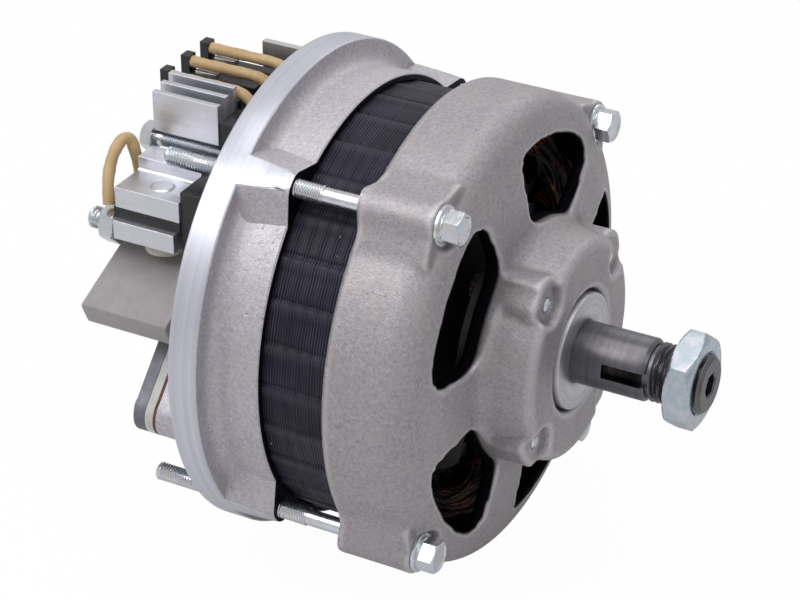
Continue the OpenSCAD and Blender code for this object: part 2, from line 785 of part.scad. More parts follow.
module rotor_shaft() {
  undercut = 1.2;
  thread_x0 = shaft_x1 - thread_l;
  color([0.42, 0.42, 0.44])
    along_shaft()
      difference() {
        rotate_extrude()
          polygon([[0, tail_x], [tail_r, tail_x], [tail_r, rb_x0 - 0.6], [rb_in_r, rb_x0 - 0.2],
                   [rb_in_r, rb_x1], [rotor_seat_r, rb_x1], [rotor_seat_r, rotor_x1],
                   [shoulder_r, rotor_x1], [shoulder_r, fb_x0], [shaft_r, fb_x0],
                   [shaft_r, thread_x0 - undercut - 0.8], [shaft_r - 0.8, thread_x0 - undercut],
                   [thread_r - 0.9, thread_x0 - undercut], [thread_r - 0.9, thread_x0],
                   [thread_r, thread_x0 + 0.6], [thread_r, shaft_x1 - 1],
                   [thread_r - 1, shaft_x1], [0, shaft_x1]]);
        // Keyway, open towards the thread
        rotate([0, 0, 174])
          block([shaft_r - key_d, -key_w / 2, thread_x0 - undercut - key_l],
                [shaft_r + cut, key_w / 2, thread_x0 - 0.6]);
        // Hexagon socket for holding the shaft
        rod_hex(3.4, shaft_x1 - 8, shaft_x1 + cut);
      }
}

module rod_hex(r, x0, x1) {
  translate([0, 0, x0]) cylinder(r = r, h = x1 - x0, $fn = 6);
}

module spacer_collar() {
  color([0.58, 0.58, 0.58])
    along_shaft()
      difference() {
        rotate_extrude()
          polygon([[0, fb_x1], [shaft_r + 4.4, fb_x1], [collar_r, fb_x1 + 0.8],
                   [collar_r, hub_x + collar_proud - 0.6], [collar_r - 0.6, hub_x + collar_proud],
                   [0, hub_x + collar_proud]]);
        rod(shaft_r + fit, fb_x1 - cut, hub_x + collar_proud + cut);
      }
}

module shaft_nut() {
  nut_x1 = shaft_x1 - 1.8;
  color([0.78, 0.82, 0.84])
    along_shaft()
      difference() {
        intersection() {
          translate([0, 0, nut_x1 - nut_t]) rotate([0, 0, 20]) cylinder(r = nut_af / sqrt(3), h = nut_t, $fn = 6);
          rotate_extrude()
            polygon([[0, nut_x1 - nut_t], [nut_af * 0.48, nut_x1 - nut_t], [nut_af * 0.58, nut_x1 - nut_t + 1.6],
                     [nut_af * 0.58, nut_x1 - 1.6], [nut_af * 0.48, nut_x1], [0, nut_x1]]);
        }
        rod(thread_r + fit, nut_x1 - nut_t - cut, nut_x1 + cut);
      }
}

// One claw: disc, core half and fingers that point along +Z
module claw() {
  half = rotor_l / 2;
  finger_l = rotor_l - claw_t - 1;
  root_w = 24;
  tip_w = 12;
  difference() {
    union() {
      rod(rotor_r - finger_t - 6, 0, claw_t);
      rod(core_r, 0, half - 0.05);
      intersection() {
        for (i = [0:pole_count - 1])
          rotate([0, 0, 360 / pole_count * i])
            rotate([90, 0, 90]) linear_extrude(height = rotor_r + 2)
              polygon([[-root_w / 2, 0], [root_w / 2, 0], [root_w / 2, claw_t],
                       [tip_w / 2, finger_l], [-tip_w / 2, finger_l], [-root_w / 2, claw_t]]);
        rotate_extrude()
          polygon([[core_r - 3, 0], [rotor_r - 2.5, 0], [rotor_r, 2.5], [rotor_r, finger_l],
                   [rotor_r - finger_t + 2, finger_l], [rotor_r - finger_t, claw_t - 0.4],
                   [core_r - 3, claw_t - 0.4]]);
      }
    }
    rod(rotor_seat_r + fit, -cut, rotor_l);
  }
}

module front_claw_pole() {
  color([0.35, 0.33, 0.32])
    along_shaft() translate([0, 0, rotor_x1]) mirror([0, 0, 1]) claw();
}

module rear_claw_pole() {
  color([0.35, 0.33, 0.32])
    along_shaft() translate([0, 0, rotor_x0]) rotate([0, 0, 180 / pole_count]) claw();
}

module coil_bobbin() {
  wall = 1.2;
  inner = core_r + fit;
  color([0.85, 0.83, 0.76])
    along_shaft() {
      tube(inner + wall, inner, rotor_x0 + claw_t, rotor_x1 - claw_t);
      tube(coil_r + 0.5, inner, rotor_x0 + claw_t, rotor_x0 + claw_t + wall);
      tube(coil_r + 0.5, inner, rotor_x1 - claw_t - wall, rotor_x1 - claw_t);
    }
}

module field_coil() {
  wall = 1.2;
  color([0.48, 0.22, 0.12])
    along_shaft()
      tube(coil_r, core_r + 2 * fit + wall, rotor_x0 + claw_t + wall, rotor_x1 - claw_t - wall);
}

module slip_ring_hub() {
  color([0.12, 0.12, 0.13])
    along_shaft() tube(slip_hub_r, tail_r + fit, tail_x, slip_x1);
}

module slip_rings() {
  color([0.75, 0.50, 0.30])
    along_shaft()
      for (x = [ring_front_x, ring_rear_x])
        tube(ring_r, slip_hub_r + fit, x - ring_w / 2, x + ring_w / 2);
}

// Finned extrusion with a lug that the long screw bears on
module positive_heat_sink() {
  inner_y = fin_y + fin_pitch * 2 + fin_t;
  web_z = fin_top - fin_depth;
  color([0.80, 0.81, 0.82])
    along_shaft()
      difference() {
        union() {
          for (i = [0:2])
            block([fin_y + fin_pitch * i, fin_low, sink_x0],
                  [fin_y + fin_pitch * i + fin_t, fin_top + fin_rise * i, sink_x1]);
          block([fin_y, fin_low, sink_x0], [inner_y, web_z, sink_x1]);
          block([sink_screw[0] + 0.5, 44, sink_x0], [inner_y, fin_low + 1, sink_x1]);
          block([sink_screw[0] + 0.5, diode_z - 6.5, sink_x1 - base_plate_t],
                [sink_diode_y[1] + 5, diode_z + 8.2, sink_x1]);
        }
        translate([sink_screw[0], sink_screw[1], 0]) rod(sink_screw_r + slide, sink_x0 - cut, cut);
        for (y = sink_diode_y) translate([y, diode_z, 0]) rod(diode_r - 1.5, sink_x0, cut);
      }
}

module positive_diodes() {
  color([0.30, 0.30, 0.32])
    along_shaft()
      for (y = sink_diode_y) translate([y, diode_z, sink_x1 - base_plate_t]) {
        rod(diode_r, -4, 0);
        rod(diode_r - 1.6, 0, base_plate_t);
        rod(0.7, -9, -4);
      }
}

module heat_sink_screws() {
  color([0.84, 0.86, 0.88])
    along_shaft()
      at_sink_screws() {
        rod(sink_screw_r, sink_x0, rear_floor_t - 1);
        translate([0, 0, sink_x0]) mirror([0, 0, 1]) rotate([0, 0, 10]) hex_head(sink_screw_af, 3.6);
      }
}

// Stepped extrusion of the earth side
module negative_heat_sink() {
  color([0.83, 0.84, 0.85])
    along_shaft()
      difference() {
        translate([0, 0, block_x0])
          linear_extrude(height = block_l)
            polygon([[block_y, block_z0], [block_y, block_z0 + block_t], [ledge_y - 0.6, block_z0 + block_t],
                     [ledge_y, block_z0 + block_t + 0.6], [ledge_y, ledge_z], [block_in_y, ledge_z],
                     [block_in_y, block_z0]]);
        rivet_hole();
      }
}

module rivet_hole(extra = 0.05) {
  translate([rivet_at[1], 0, rivet_at[0]]) rotate([-90, 0, 0]) cylinder(r = rivet_r + extra, h = 80);
}

module positive_bar() {
  color([0.82, 0.83, 0.84])
    along_shaft()
      difference() {
        block([bar_y, bar_z0, block_x0], [block_in_y - 2, bar_z0 + bar_t, block_x1 - 1]);
        rivet_hole();
        translate([stud_at[0], stud_at[1], 0]) rod(stud_b_r - 1.2 + fit, block_x0 - cut, block_x0 + 6);
      }
}

// Black moulding between the sinks, and its foot on the flange
module rectifier_insulator() {
  color([0.05, 0.05, 0.055])
    along_shaft()
      difference() {
        union() {
          block([block_y + 0.2, bar_z0 + bar_t, block_x0 - 0.8], [block_in_y - 1, block_z0, block_x1]);
          block([block_y + 0.8, bar_z0 + 0.5, block_x1], [block_in_y, ledge_z - 1, 0]);
        }
        rivet_hole();
        block([bar_y - 1, bar_z0 - 1, block_x1 - 1.1], [block_in_y - 1.9, bar_z0 + bar_t, block_x1]);
      }
}

module rectifier_rivet() {
  low = bar_z0 - 2.6;
  high = block_z0 + block_t + 0.5;
  color([0.72, 0.73, 0.74])
    along_shaft()
      translate([rivet_at[1], low, rivet_at[0]]) rotate([-90, 0, 0]) {
        cylinder(r = rivet_r, h = high - low);
        translate([0, 0, high - low - 0.5]) cylinder(r1 = 3.4, r2 = 2.6, h = 0.5);
      }
}

module insulating_bush() {
  color([0.90, 0.91, 0.82])
    along_shaft()
      difference() {
        translate([rivet_at[1], bar_z0 - 3.6, rivet_at[0]]) rotate([-90, 0, 0]) cylinder(r = bush_r, h = 3.6);
        translate([rivet_at[1], bar_z0 - 2.6, rivet_at[0]]) rotate([-90, 0, 0]) cylinder(r = rivet_r + 0.05, h = 6);
      }
}

module output_stud() {
  color([0.74, 0.76, 0.80])
    along_shaft()
      translate([stud_at[0], stud_at[1], 0]) {
        rotate_extrude()
          polygon([[0, block_x0 - stud_b_l], [stud_b_r - 0.6, block_x0 - stud_b_l],
                   [stud_b_r, block_x0 - stud_b_l + 0.6], [stud_b_r, nut_b_x0],
                   [stud_b_tapped_r, nut_b_x0], [stud_b_tapped_r, block_x0], [0, block_x0]]);
        rod(stud_b_r - 1.2, block_x0 - cut, block_x0 + 5);
      }
}

module output_washer() {
  color([0.78, 0.80, 0.82])
    along_shaft() translate([stud_at[0], stud_at[1], 0])
      tube(stud_b_r + 1.2, stud_b_tapped_r + fit, block_x0 - washer_b_t, block_x0);
}

module output_nut() {
  color([0.80, 0.82, 0.84])
    along_shaft()
      translate([stud_at[0], stud_at[1], block_x0 - washer_b_t])
        difference() {
          mirror([0, 0, 1]) rotate([0, 0, 18]) hex_head(nut_b_af, nut_b_t);
          translate([0, 0, -nut_b_t - cut]) cylinder(r = stud_b_tapped_r + fit, h = nut_b_t + 2 * cut);
        }
}

// Upright plate on the earth side, with a foot on the end wall
module cooling_plate() {
  y0 = plate_y - plate_t / 2;
  color([0.80, 0.81, 0.82])
    along_shaft()
      difference() {
        union() {
          block([y0, cooling_foot[1] + 3, plate_x0], [y0 + plate_t, cooling_z - 4, 0]);
          block([y0, cooling_z - 12.4, plate_x0], [y0 + plate_t, cooling_z, -2]);
          block([y0, cooling_foot[1], -3], [cooling_foot[0], cooling_foot[1] + cooling_foot_h, 0]);
        }
        for (y = earth_diode_y) translate([y, earth_diode_z, 0]) rod(diode_r - 1.9, -4, cut);
      }
}

module negative_diodes() {
  color([0.30, 0.30, 0.32])
    along_shaft()
      for (y = earth_diode_y) translate([y, earth_diode_z, 0]) {
        rod(diode_r - 1, -7, -3);
        rod(diode_r - 2, -3, 0);
        rod(0.7, -12, -7);
      }
}

// Black carrier: a foot on the end wall and a post under each stator lead
module terminal_carrier() {
  half = post_w / 2;
  color([0.05, 0.05, 0.055])
    along_shaft()
      difference() {
        union() {
          block([fin_y + 0.4, 44.5, -sink_back], [plate_y - plate_t / 2, post_z - 1.5, 0]);
          for (y = lead_y) {
            block([y - half, post_z - 6, hook_x0 + 1], [y + half, post_z - 0.2, -sink_back]);
            block([y - half, post_z - 3, hook_x0 - 1.6], [y + half, lead_z + 2, hook_x0 + 1]);
          }
          block([lead_y[0] - half, post_z - 6.2, sink_x0 - 0.4], [plate_y - plate_t / 2, post_z - 3.6, -sink_back]);
        }
        translate([sink_screw[0], sink_screw[1], 0]) rod(sink_screw_r + slide, -sink_back - cut, cut);
        // Way for the leads through the foot
        for (y = lead_y) {
          translate([y, 52.6, 0]) rod(lead_r + 0.3, -5, cut);
          block([y - lead_r - 0.3, 52.6, -5], [y + lead_r + 0.3, post_z, cut]);
          block([y - lead_r - 0.3, 54.6, -sink_back - cut], [y + lead_r + 0.3, post_z, 0]);
        }
      }
}

// Tinned strip under the end of each stator lead
module phase_terminals() {
  half_w = 1.2;
  strip_z = lead_z - lead_r - 1.4;
  color([0.74, 0.74, 0.72])
    along_shaft()
      for (y = lead_y)
        block([y - half_w, strip_z, hook_x0 + 2.5], [y + half_w, strip_z + 1, hook_x0 + 9]);
}

module exciter_diodes() {
  color([0.18, 0.18, 0.19])
    along_shaft()
      for (y = exciter_y) translate([y, exciter_z, 0]) {
        rod(1.3, sink_x0 + 6, sink_x0 + 11);
        rod(0.4, sink_x0 + 2, -sink_back);
      }
}

// Tube swept along points, one closed polyhedron
function add(a, b) = a + b;
function unit(v) = v / norm(v);
function turn_at(p, i) = unit(p[min(i + 1, len(p) - 1)] - p[max(i - 1, 0)]);
function spline(p, i, t) =
  let (
    n = len(p) - 1,
    a = p[max(i - 1, 0)],
    b = p[i],
    c = p[min(i + 1, n)],
    d = p[min(i + 2, n)]
  )
  0.5 * ((2 * b) + (c - a) * t + (2 * a - 5 * b + 4 * c - d) * t * t + (3 * b - a - 3 * c + d) * t * t * t);
function smooth_path(p, steps) = concat(
  [for (i = [0:len(p) - 2]) for (k = [0:steps - 1]) spline(p, i, k / steps)],
  [p[len(p) - 1]]
);
function ring_points(p, i, r, side, sides) =
  let (
    along = turn_at(p, i),
    u = unit(cross(along, side)),
    v = cross(u, along)
  )
  [for (k = [0:sides - 1]) p[i] + r * cos(360 * k / sides) * u + r * sin(360 * k / sides) * v];

module swept_tube(points, r, side, steps = 3, sides = 8) {
  path = smooth_path(points, steps);
  rings = len(path);
  corners = [for (i = [0:rings - 1]) each ring_points(path, i, r, side, sides)];
  walls = [for (i = [0:rings - 2]) for (k = [0:sides - 1])
    let (a = i * sides + k, b = i * sides + (k + 1) % sides)
    each [[a, b, b + sides], [a, b + sides, a + sides]]];
  first_cap = [for (k = [0:sides - 1]) sides - 1 - k];
  last_cap = [for (k = [0:sides - 1]) (rings - 1) * sides + k];
  polyhedron(points = corners, faces = concat(walls, [first_cap, last_cap]));
}

// Route of a stator lead from the winding to its terminal
lead_route = [[52.6, 4], [52.6, 0], [54.6, -3], [58.6, -5.4], [60.2, -9], [60.3, -15], [60.3, -22], [60.3, -29.2]];

module phase_leads() {
  color([0.80, 0.66, 0.44])
    along_shaft()
      for (y = lead_y)
        swept_tube([for (q = lead_route) [y, q[0], q[1]]], lead_r, [1, 0, 0]);
}

// Route of the field lead, over the top of the earth side sink
field_route = [[-46, 38, -30], [-48, 43, -31.5], [-44.7, 47.5, -33.2], [-40.7, 52, -32.7],
               [-37, 53, -31.3], [-35, 50.5, -29.8], [-33.5, 46, -29], [-33, 41, -28.2]];

module field_lead() {
  color([0.80, 0.66, 0.44])
    along_shaft() swept_tube(field_route, lead_r + 0.1, [0, 0, 1]);
}

module suppression_capacitor() {
  bevel = 1.2;
  color([0.66, 0.64, 0.60])
    along_shaft()
      translate([cap_corner[0], cap_corner[1], cap_x0]) rotate([0, 0, cap_turn])
        linear_extrude(height = cap_l)
          polygon([[bevel * 0.4, 0], [0, -bevel * 0.6], [0, -cap_t + bevel], [bevel, -cap_t],
                   [cap_w, -cap_t], [cap_w, 0]]);
}

module capacitor_bracket() {
  color([0.74, 0.76, 0.78])
    along_shaft()
      difference() {
        translate([cap_corner[0], cap_corner[1], 0]) rotate([0, 0, cap_turn]) {
          block([4, -cap_t, cap_x1], [bracket_screw_u, 0, cap_x1 + bracket_t]);
          translate([bracket_screw_u, -cap_t / 2, 0]) rod(cap_t / 2, cap_x1, cap_x1 + bracket_t);
        }
        at_capacitor_screw() rod(1.5 + fit, cap_x1 - cut, 0);
      }
}

module capacitor_screw() {
  color([0.84, 0.86, 0.88])
    along_shaft() at_capacitor_screw() {
      rod(1.5, cap_x1, rear_floor_t - 1.5);
      difference() {
        translate([0, 0, cap_x1 - 2]) cylinder(r1 = 2.4, r2 = 2.9, h = 2);
        block([-3, -0.4, cap_x1 - 3], [3, 0.4, cap_x1 - 1]);
      }
    }
}

drive_end_housing();
rear_housing();
stator_core();
stator_winding();
bearing_retainer_plate();
retainer_screws();
front_bearing_outer_race();
front_bearing_shields();
rear_bearing_outer_race();
rear_bearing_shields();
through_bolts();
bolt_washers();
positive_heat_sink();
negative_heat_sink();
positive_bar();
cooling_plate();
rectifier_insulator();
terminal_carrier();
phase_terminals();
phase_leads();
field_lead();
positive_diodes();
negative_diodes();
exciter_diodes();
rectifier_rivet();
insulating_bush();
heat_sink_screws();
output_stud();
output_nut();
output_washer();
suppression_capacitor();
capacitor_bracket();
capacitor_screw();
regulator_cover();
regulator_gasket();
brush_holder();
regulator_screws();
brush_spring_front();
brush_spring_rear();
carbon_brush_front();
carbon_brush_rear();
rotor_shaft();
front_claw_pole();
rear_claw_pole();
field_coil();
coil_bobbin();
slip_ring_hub();
slip_rings();
spacer_collar();
shaft_nut();
front_bearing_inner_race();
rear_bearing_inner_race();
front_bearing_balls();
front_bearing_cage();
rear_bearing_balls();
rear_bearing_cage();
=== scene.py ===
"""Looks of the claw-pole alternator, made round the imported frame.

Lengths in the tables are millimetres, and turn into metres where a mesh is made.
The shaft lies along X, and an angle about it runs from +Y towards +Z, as in the part's source.
"""
import math

import bmesh
import bpy
import numpy as np
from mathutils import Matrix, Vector


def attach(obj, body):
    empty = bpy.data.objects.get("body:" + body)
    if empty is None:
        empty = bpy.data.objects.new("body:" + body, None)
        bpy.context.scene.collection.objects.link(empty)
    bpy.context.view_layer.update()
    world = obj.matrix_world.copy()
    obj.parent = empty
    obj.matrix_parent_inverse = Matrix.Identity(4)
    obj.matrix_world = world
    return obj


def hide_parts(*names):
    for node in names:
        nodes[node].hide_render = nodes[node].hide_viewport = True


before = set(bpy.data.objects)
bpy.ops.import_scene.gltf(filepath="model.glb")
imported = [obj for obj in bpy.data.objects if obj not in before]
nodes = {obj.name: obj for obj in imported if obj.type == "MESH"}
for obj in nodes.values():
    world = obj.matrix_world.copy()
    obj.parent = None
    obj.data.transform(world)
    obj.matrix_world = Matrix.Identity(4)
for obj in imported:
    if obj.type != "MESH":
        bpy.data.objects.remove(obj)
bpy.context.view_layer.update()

MM = 0.001
TAU = 2 * math.pi
# Points nearer to each other than this, in metres, are one
SAME_POINT = 2e-6

# Planes along the shaft, radii and sizes, as in the part's source
FLANGE_R, REAR_FACE_R = 68.0, 56.5
REAR_RIM_X, FRONT_RIM_X, FACE_X = 23.0, 42.9, 70.4
STACK_X0, STACK_X1, STACK_R, STACK_BORE = 17.5, 48.4, 59.4, 43.6
BOLT_CIRCLE, BOLT_CLOCK, BOLT_SEAT_X = 64.4, 37.7, 64.0
RETAINER_CIRCLE = 27.3
SHAFT_X1, SHAFT_R = 121.5, 8.5
NUT_X1, NUT_T, NUT_AF, NUT_PITCH = 119.7, 7.0, 24.0, 1.5
SLOTS = 36
OUTPUT_STUD = (-44.0, 29.9)


# Meshes

def skin(grid, loop_rows=False):
    """Quads between a grid's neighbouring points, closed round its columns and, if asked, its rows."""
    rows, cols = grid.shape[:2]
    index = np.arange(rows * cols).reshape(rows, cols)
    a = index if loop_rows else index[:-1]
    b = np.roll(index, -1, 0) if loop_rows else index[1:]
    quads = np.stack([a, b, np.roll(b, -1, 1), np.roll(a, -1, 1)], -1).reshape(-1, 4)
    return grid.reshape(-1, 3), quads


def joined(parts):
    """One list of points and quads from several."""
    points, quads, start = [], [], 0
    for p, q in parts:
        points.append(p)
        quads.append(q + start)
        start += len(p)
    return np.concatenate(points), np.concatenate(quads)


def tidy_mesh(mesh, from_cad=False):
    """Merges doubled points and turns the faces outwards.

    Flat faces are made whole where the mesh is from the CAD. In others, faces with no area go.
    """
    bm = bmesh.new()
    bm.from_mesh(mesh)
    bmesh.ops.remove_doubles(bm, verts=bm.verts, dist=SAME_POINT)
    if from_cad:
        bmesh.ops.dissolve_limit(bm, angle_limit=math.radians(1.0), verts=bm.verts, edges=bm.edges)
    else:
        bmesh.ops.dissolve_degenerate(bm, edges=bm.edges, dist=1e-7)
    bmesh.ops.recalc_face_normals(bm, faces=bm.faces)
    bm.to_mesh(mesh)
    bm.free()


def new_object(name, data):
    """An object of the data in the scene."""
    thing = bpy.data.objects.new(name, data)
    bpy.context.scene.collection.objects.link(thing)
    return thing


def place(mesh, name, body, material, replaces, angle):
    """An object of the mesh that rides on a body, shaded smooth but for edges over the angle in degrees."""
    mesh.shade_smooth()
    mesh.set_sharp_from_angle(angle=math.radians(angle))
    piece = new_object(name, mesh)
    piece.data.materials.clear()
    piece.data.materials.append(material)
    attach(piece, body)
    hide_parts(*replaces)
    return piece


def read(items, label):
    """An array of a mesh's vectors, or of its edges' two point numbers, with a row for each."""
    width, kind = (2, np.int32) if label == "vertices" else (3, np.float32)
    values = np.zeros(len(items) * width, kind)
    items.foreach_get(label, values)
    return values.reshape(-1, width)


def store(mesh, label, values):
    """Keeps a number for each point as an attribute, which materials read by its label."""
    attribute = mesh.attributes.new(label, "FLOAT", "POINT")
    attribute.data.foreach_set("value", values.astype(np.float32))


def quad_mesh(name, points, quads):
    """A mesh from points in millimetres and quads."""
    mesh = bpy.data.meshes.new(name)
    mesh.vertices.add(len(points))
    mesh.vertices.foreach_set("co", (points * MM).astype(np.float32).ravel())
    mesh.loops.add(quads.size)
    mesh.loops.foreach_set("vertex_index", quads.astype(np.int32).ravel())
    mesh.polygons.add(len(quads))
    mesh.polygons.foreach_set("loop_start", np.arange(0, quads.size, 4, dtype=np.int32))
    mesh.update(calc_edges=True)
    return mesh


def build(name, points, quads, body, slot, material, replaces, angle):
    """A piece from points in millimetres and quads."""
    mesh = quad_mesh(name, points, quads)
    tidy_mesh(mesh)
    return place(mesh, name, body, material, replaces, angle)


def about(x, r, theta, y0=0.0, z0=0.0):
    """Points at radius r and angle theta about the line along X through y0, z0."""
    x, r, theta = np.broadcast_arrays(x, r, theta)
    return np.stack([x, y0 + r * np.cos(theta), z0 + r * np.sin(theta)], -1).astype(float)


def angles(steps, clock=0.0):
    """Even angles round a circle, from the clock angle in degrees."""
    return math.radians(clock) + np.arange(steps) * TAU / steps


def turned_ring(section, steps, at=(0, 0)):
    """A closed section of (x, r) points carried round a line along X."""
    x, r = (np.array(v, float)[:, None] for v in zip(*section))
    return skin(about(x, r, angles(steps)[None, :], *at), loop_rows=True)


def hexagon_r(theta, af, clock):
    """Radius of a hexagon's outline at each angle, with a corner at the clock angle."""
    sector = np.mod(theta - math.radians(clock), TAU / 6) - TAU / 12
    return af / 2 / np.cos(sector)


def thread_dip(x, theta, pitch):
    """Depth from crest to root, 0 to 1, of a right-hand V thread with slightly flat crests and roots."""
    u = x / pitch - theta / TAU
    v = np.abs(2 * (u - np.round(u)))
    return np.clip(v * 1.3 - 0.15, 0, 1)


def threaded_rod(sections, at, steps):
    """Round bar made of (x0, x1, r0, r1, pitch, depth) lengths.

    A thread is a radius that dips with x and angle, and the dip fades in and out at its ends.
    """
    rows = [(sections[0][0], 0.0, 1.0, 0.0)]
    for x0, x1, r0, r1, pitch, depth in sections:
        count = max(2, int(abs(x1 - x0) / pitch * 6) + 1) if depth else 2
        for t in np.linspace(0, 1, count):
            fade = min(min(t, 1 - t) * count / 5, 1)
            rows.append((x0 + (x1 - x0) * t, r0 + (r1 - r0) * t, pitch or 1.0, depth * fade))
    rows.append((sections[-1][1], 0.0, 1.0, 0.0))
    x, r, p, d = (np.array(v)[:, None] for v in zip(*rows))
    theta = angles(steps)[None, :]
    return skin(about(x, r - d * thread_dip(x, theta, p), theta, *at))


def hex_prism(x0, x1, af, clock, at, dish, washer=0.0):
    """Hexagon head: at each height the radius is the lesser of the hexagon's and the chamfer cone's.

    With a washer face, its first rows are a round plate wider than the flats. Its end is sunk by dish.
    """
    way = 1 if x1 > x0 else -1
    t = abs(x1 - x0)
    chamfer = af * 0.075
    plate_r = af * 0.485 + washer
    rows = [(0, 0.0), (0, af * 0.46)]
    if washer:
        rows += [(0, plate_r), (0.5, plate_r), (0.8, af * 0.5)]
    rows.append((0.8 if washer else 0.15, af * 0.6))
    rows += [(t - chamfer * (1 - k / 6), af * (0.585 - 0.105 * (k / 6) ** 1.3)) for k in range(7)]
    rows += [(t, af * 0.44), (t - dish, af * 0.38), (t - dish * 1.2, 0.0)]
    h, cap = (np.array(v)[:, None] for v in zip(*rows))
    theta = angles(72, clock)[None, :]
    r = np.minimum(cap, hexagon_r(theta, af, clock))
    if washer:
        r[:4] = cap[:4]
    return skin(about(x0 + way * h, r, theta, *at))


def hex_nut(x0, x1, af, bore, pitch, clock, at=(0, 0), steps=144):
    """Nut: threaded bore, countersinks, faces, and both ends of the hexagon cut back by cones.

    Each row is a height, a radius and a kind: 0 is cut to the hexagon, 1 is round and 2 is the thread.
    """
    t = x1 - x0
    chamfer = af * 0.07
    cone = [(k / 6, af * (0.478 + 0.107 * (k / 6) ** 0.8)) for k in range(7)]
    rows = [(chamfer * share, cap, 0) for share, cap in cone]
    rows += [(t - chamfer * share, cap, 0) for share, cap in reversed(cone)]
    rows += [(t, bore + 0.75, 1), (t - 0.6, bore + 0.1, 1)]
    rows += [(h, bore - 0.05, 2) for h in np.linspace(t - 0.8, 0.8, int(t / pitch * 6))]
    rows += [(0.6, bore + 0.1, 1), (0, bore + 0.75, 1)]
    h, cap, kind = (np.array(v)[:, None] for v in zip(*rows))
    theta = angles(steps, clock)[None, :]
    hexed = np.minimum(cap, hexagon_r(theta, af, clock))
    inner = cap + 0.12 * thread_dip(x0 + h, theta, pitch)
    r = np.where(kind == 0, hexed, np.where(kind == 2, inner, cap))
    return skin(about(x0 + h, r, theta, *at), loop_rows=True)


def catmull(points, steps):
    """Smooth path through points, a cubic between each pair."""
    p = np.array(points, float)
    before, after = np.vstack([p[:1], p[:-1]]), np.vstack([p[1:], p[-1:]])
    after2 = np.vstack([p[2:], p[-1:], p[-1:]])
    t = np.linspace(0, 1, steps, endpoint=False)[None, :, None]
    a, b, c, d = (v[:-1, None, :] for v in (before, p, after, after2))
    path = 0.5 * (2 * b + (c - a) * t + (2 * a - 5 * b + 4 * c - d) * t**2 + (3 * b - a - 3 * c + d) * t**3)
    return np.vstack([path.reshape(-1, 3), p[-1:]])


def sweep(path, radius, side, sides):
    """Grid of a round tube along a path. Radius is one number, one a row, or one for each row and side."""
    along = np.gradient(path, axis=0)
    along /= np.linalg.norm(along, axis=1)[:, None]
    u = np.cross(along, np.array(side, float))
    u /= np.linalg.norm(u, axis=1)[:, None]
    v = np.cross(u, along)
    phi = angles(sides)
    radius = np.asarray(radius, float)
    r = np.broadcast_to(radius[:, None] if radius.ndim == 1 else radius, (len(path), sides))
    ring = np.cos(phi)[None, :, None] * u[:, None, :] + np.sin(phi)[None, :, None] * v[:, None, :]
    return path[:, None, :] + r[:, :, None] * ring


def capped(grid):
    """A tube's grid with a point at each end, so that its ends are closed."""
    first = np.broadcast_to(grid[0].mean(0), grid[0].shape)[None]
    last = np.broadcast_to(grid[-1].mean(0), grid[-1].shape)[None]
    return skin(np.concatenate([first, grid, last]))


def copy_of(node):
    """Tidied copy of a CAD node's mesh."""
    mesh = nodes[node].data.copy()
    tidy_mesh(mesh, from_cad=True)
    return mesh


def softened(node, body, material, bevel, segments=2):
    """The node's solid with its corners rounded, in place of the node."""
    piece = place(copy_of(node), node + "_piece", body, material, (node,), 30)
    rounding = piece.modifiers.new("rounding", "BEVEL")
    rounding.width = bevel * MM
    rounding.segments = segments
    rounding.limit_method = "ANGLE"
    rounding.angle_limit = math.radians(28)
    rounding.use_clamp_overlap = True
    rounding.harden_normals = True
    return piece


def average(values, edges, count):
    """Mean of each point's neighbours along its edges."""
    a, b = edges.T
    total = np.stack([np.bincount(a, column[b], count) + np.bincount(b, column[a], count)
                      for column in values.T], 1)
    degree = np.bincount(edges.ravel(), minlength=count)
    return total / np.maximum(degree, 1)[:, None]


def cast_piece(node, name, body, material, voxel, weight_of, put_back, hollow_of):
    """A casting: the solid remeshed to even faces, rubbed smooth by averages, machined faces put back.

    First each point moves towards the mean of its neighbours and then a little further away from it, which
    rounds the voxels' steps and keeps the size. weight_of gives how strongly each point is rubbed after
    that, and put_back moves points back to true planes and outlines. The attribute edge holds how far a
    point stands proud of its wider surroundings, and hollow is 1 inside.
    """
    rough = new_object("rough", copy_of(node))
    remesh = rough.modifiers.new("even", "REMESH")
    remesh.mode = "VOXEL"
    remesh.voxel_size = voxel * MM
    evaluated = rough.evaluated_get(bpy.context.evaluated_depsgraph_get())
    mesh = bpy.data.meshes.new_from_object(evaluated)
    bpy.data.objects.remove(rough)
    count = len(mesh.vertices)
    co = read(mesh.vertices, "co").astype(float) / MM
    edges = read(mesh.edges, "vertices")
    for _ in range(4):
        for share in (0.55, -0.56):
            co += share * (average(co, edges, count) - co)
    weight = weight_of(co)[:, None]
    for _ in range(24):
        co += 0.5 * weight * (average(co, edges, count) - co)
    co = put_back(co)
    mesh.vertices.foreach_set("co", (co * MM).astype(np.float32).ravel())
    mesh.update()
    normal = read(mesh.vertices, "normal").astype(float)
    wide = co.copy()
    for _ in range(6):
        wide = average(wide, edges, count)
    proud = ((co - wide) * normal).sum(1)
    store(mesh, "edge", np.clip(proud * 3, -1, 1))
    hollow = hollow_of(co, normal)[:, None]
    for _ in range(3):
        hollow = 0.4 * hollow + 0.6 * average(hollow, edges, count)
    store(mesh, "hollow", hollow[:, 0])
    return place(mesh, name, body, material, (node,), 70)


# Materials

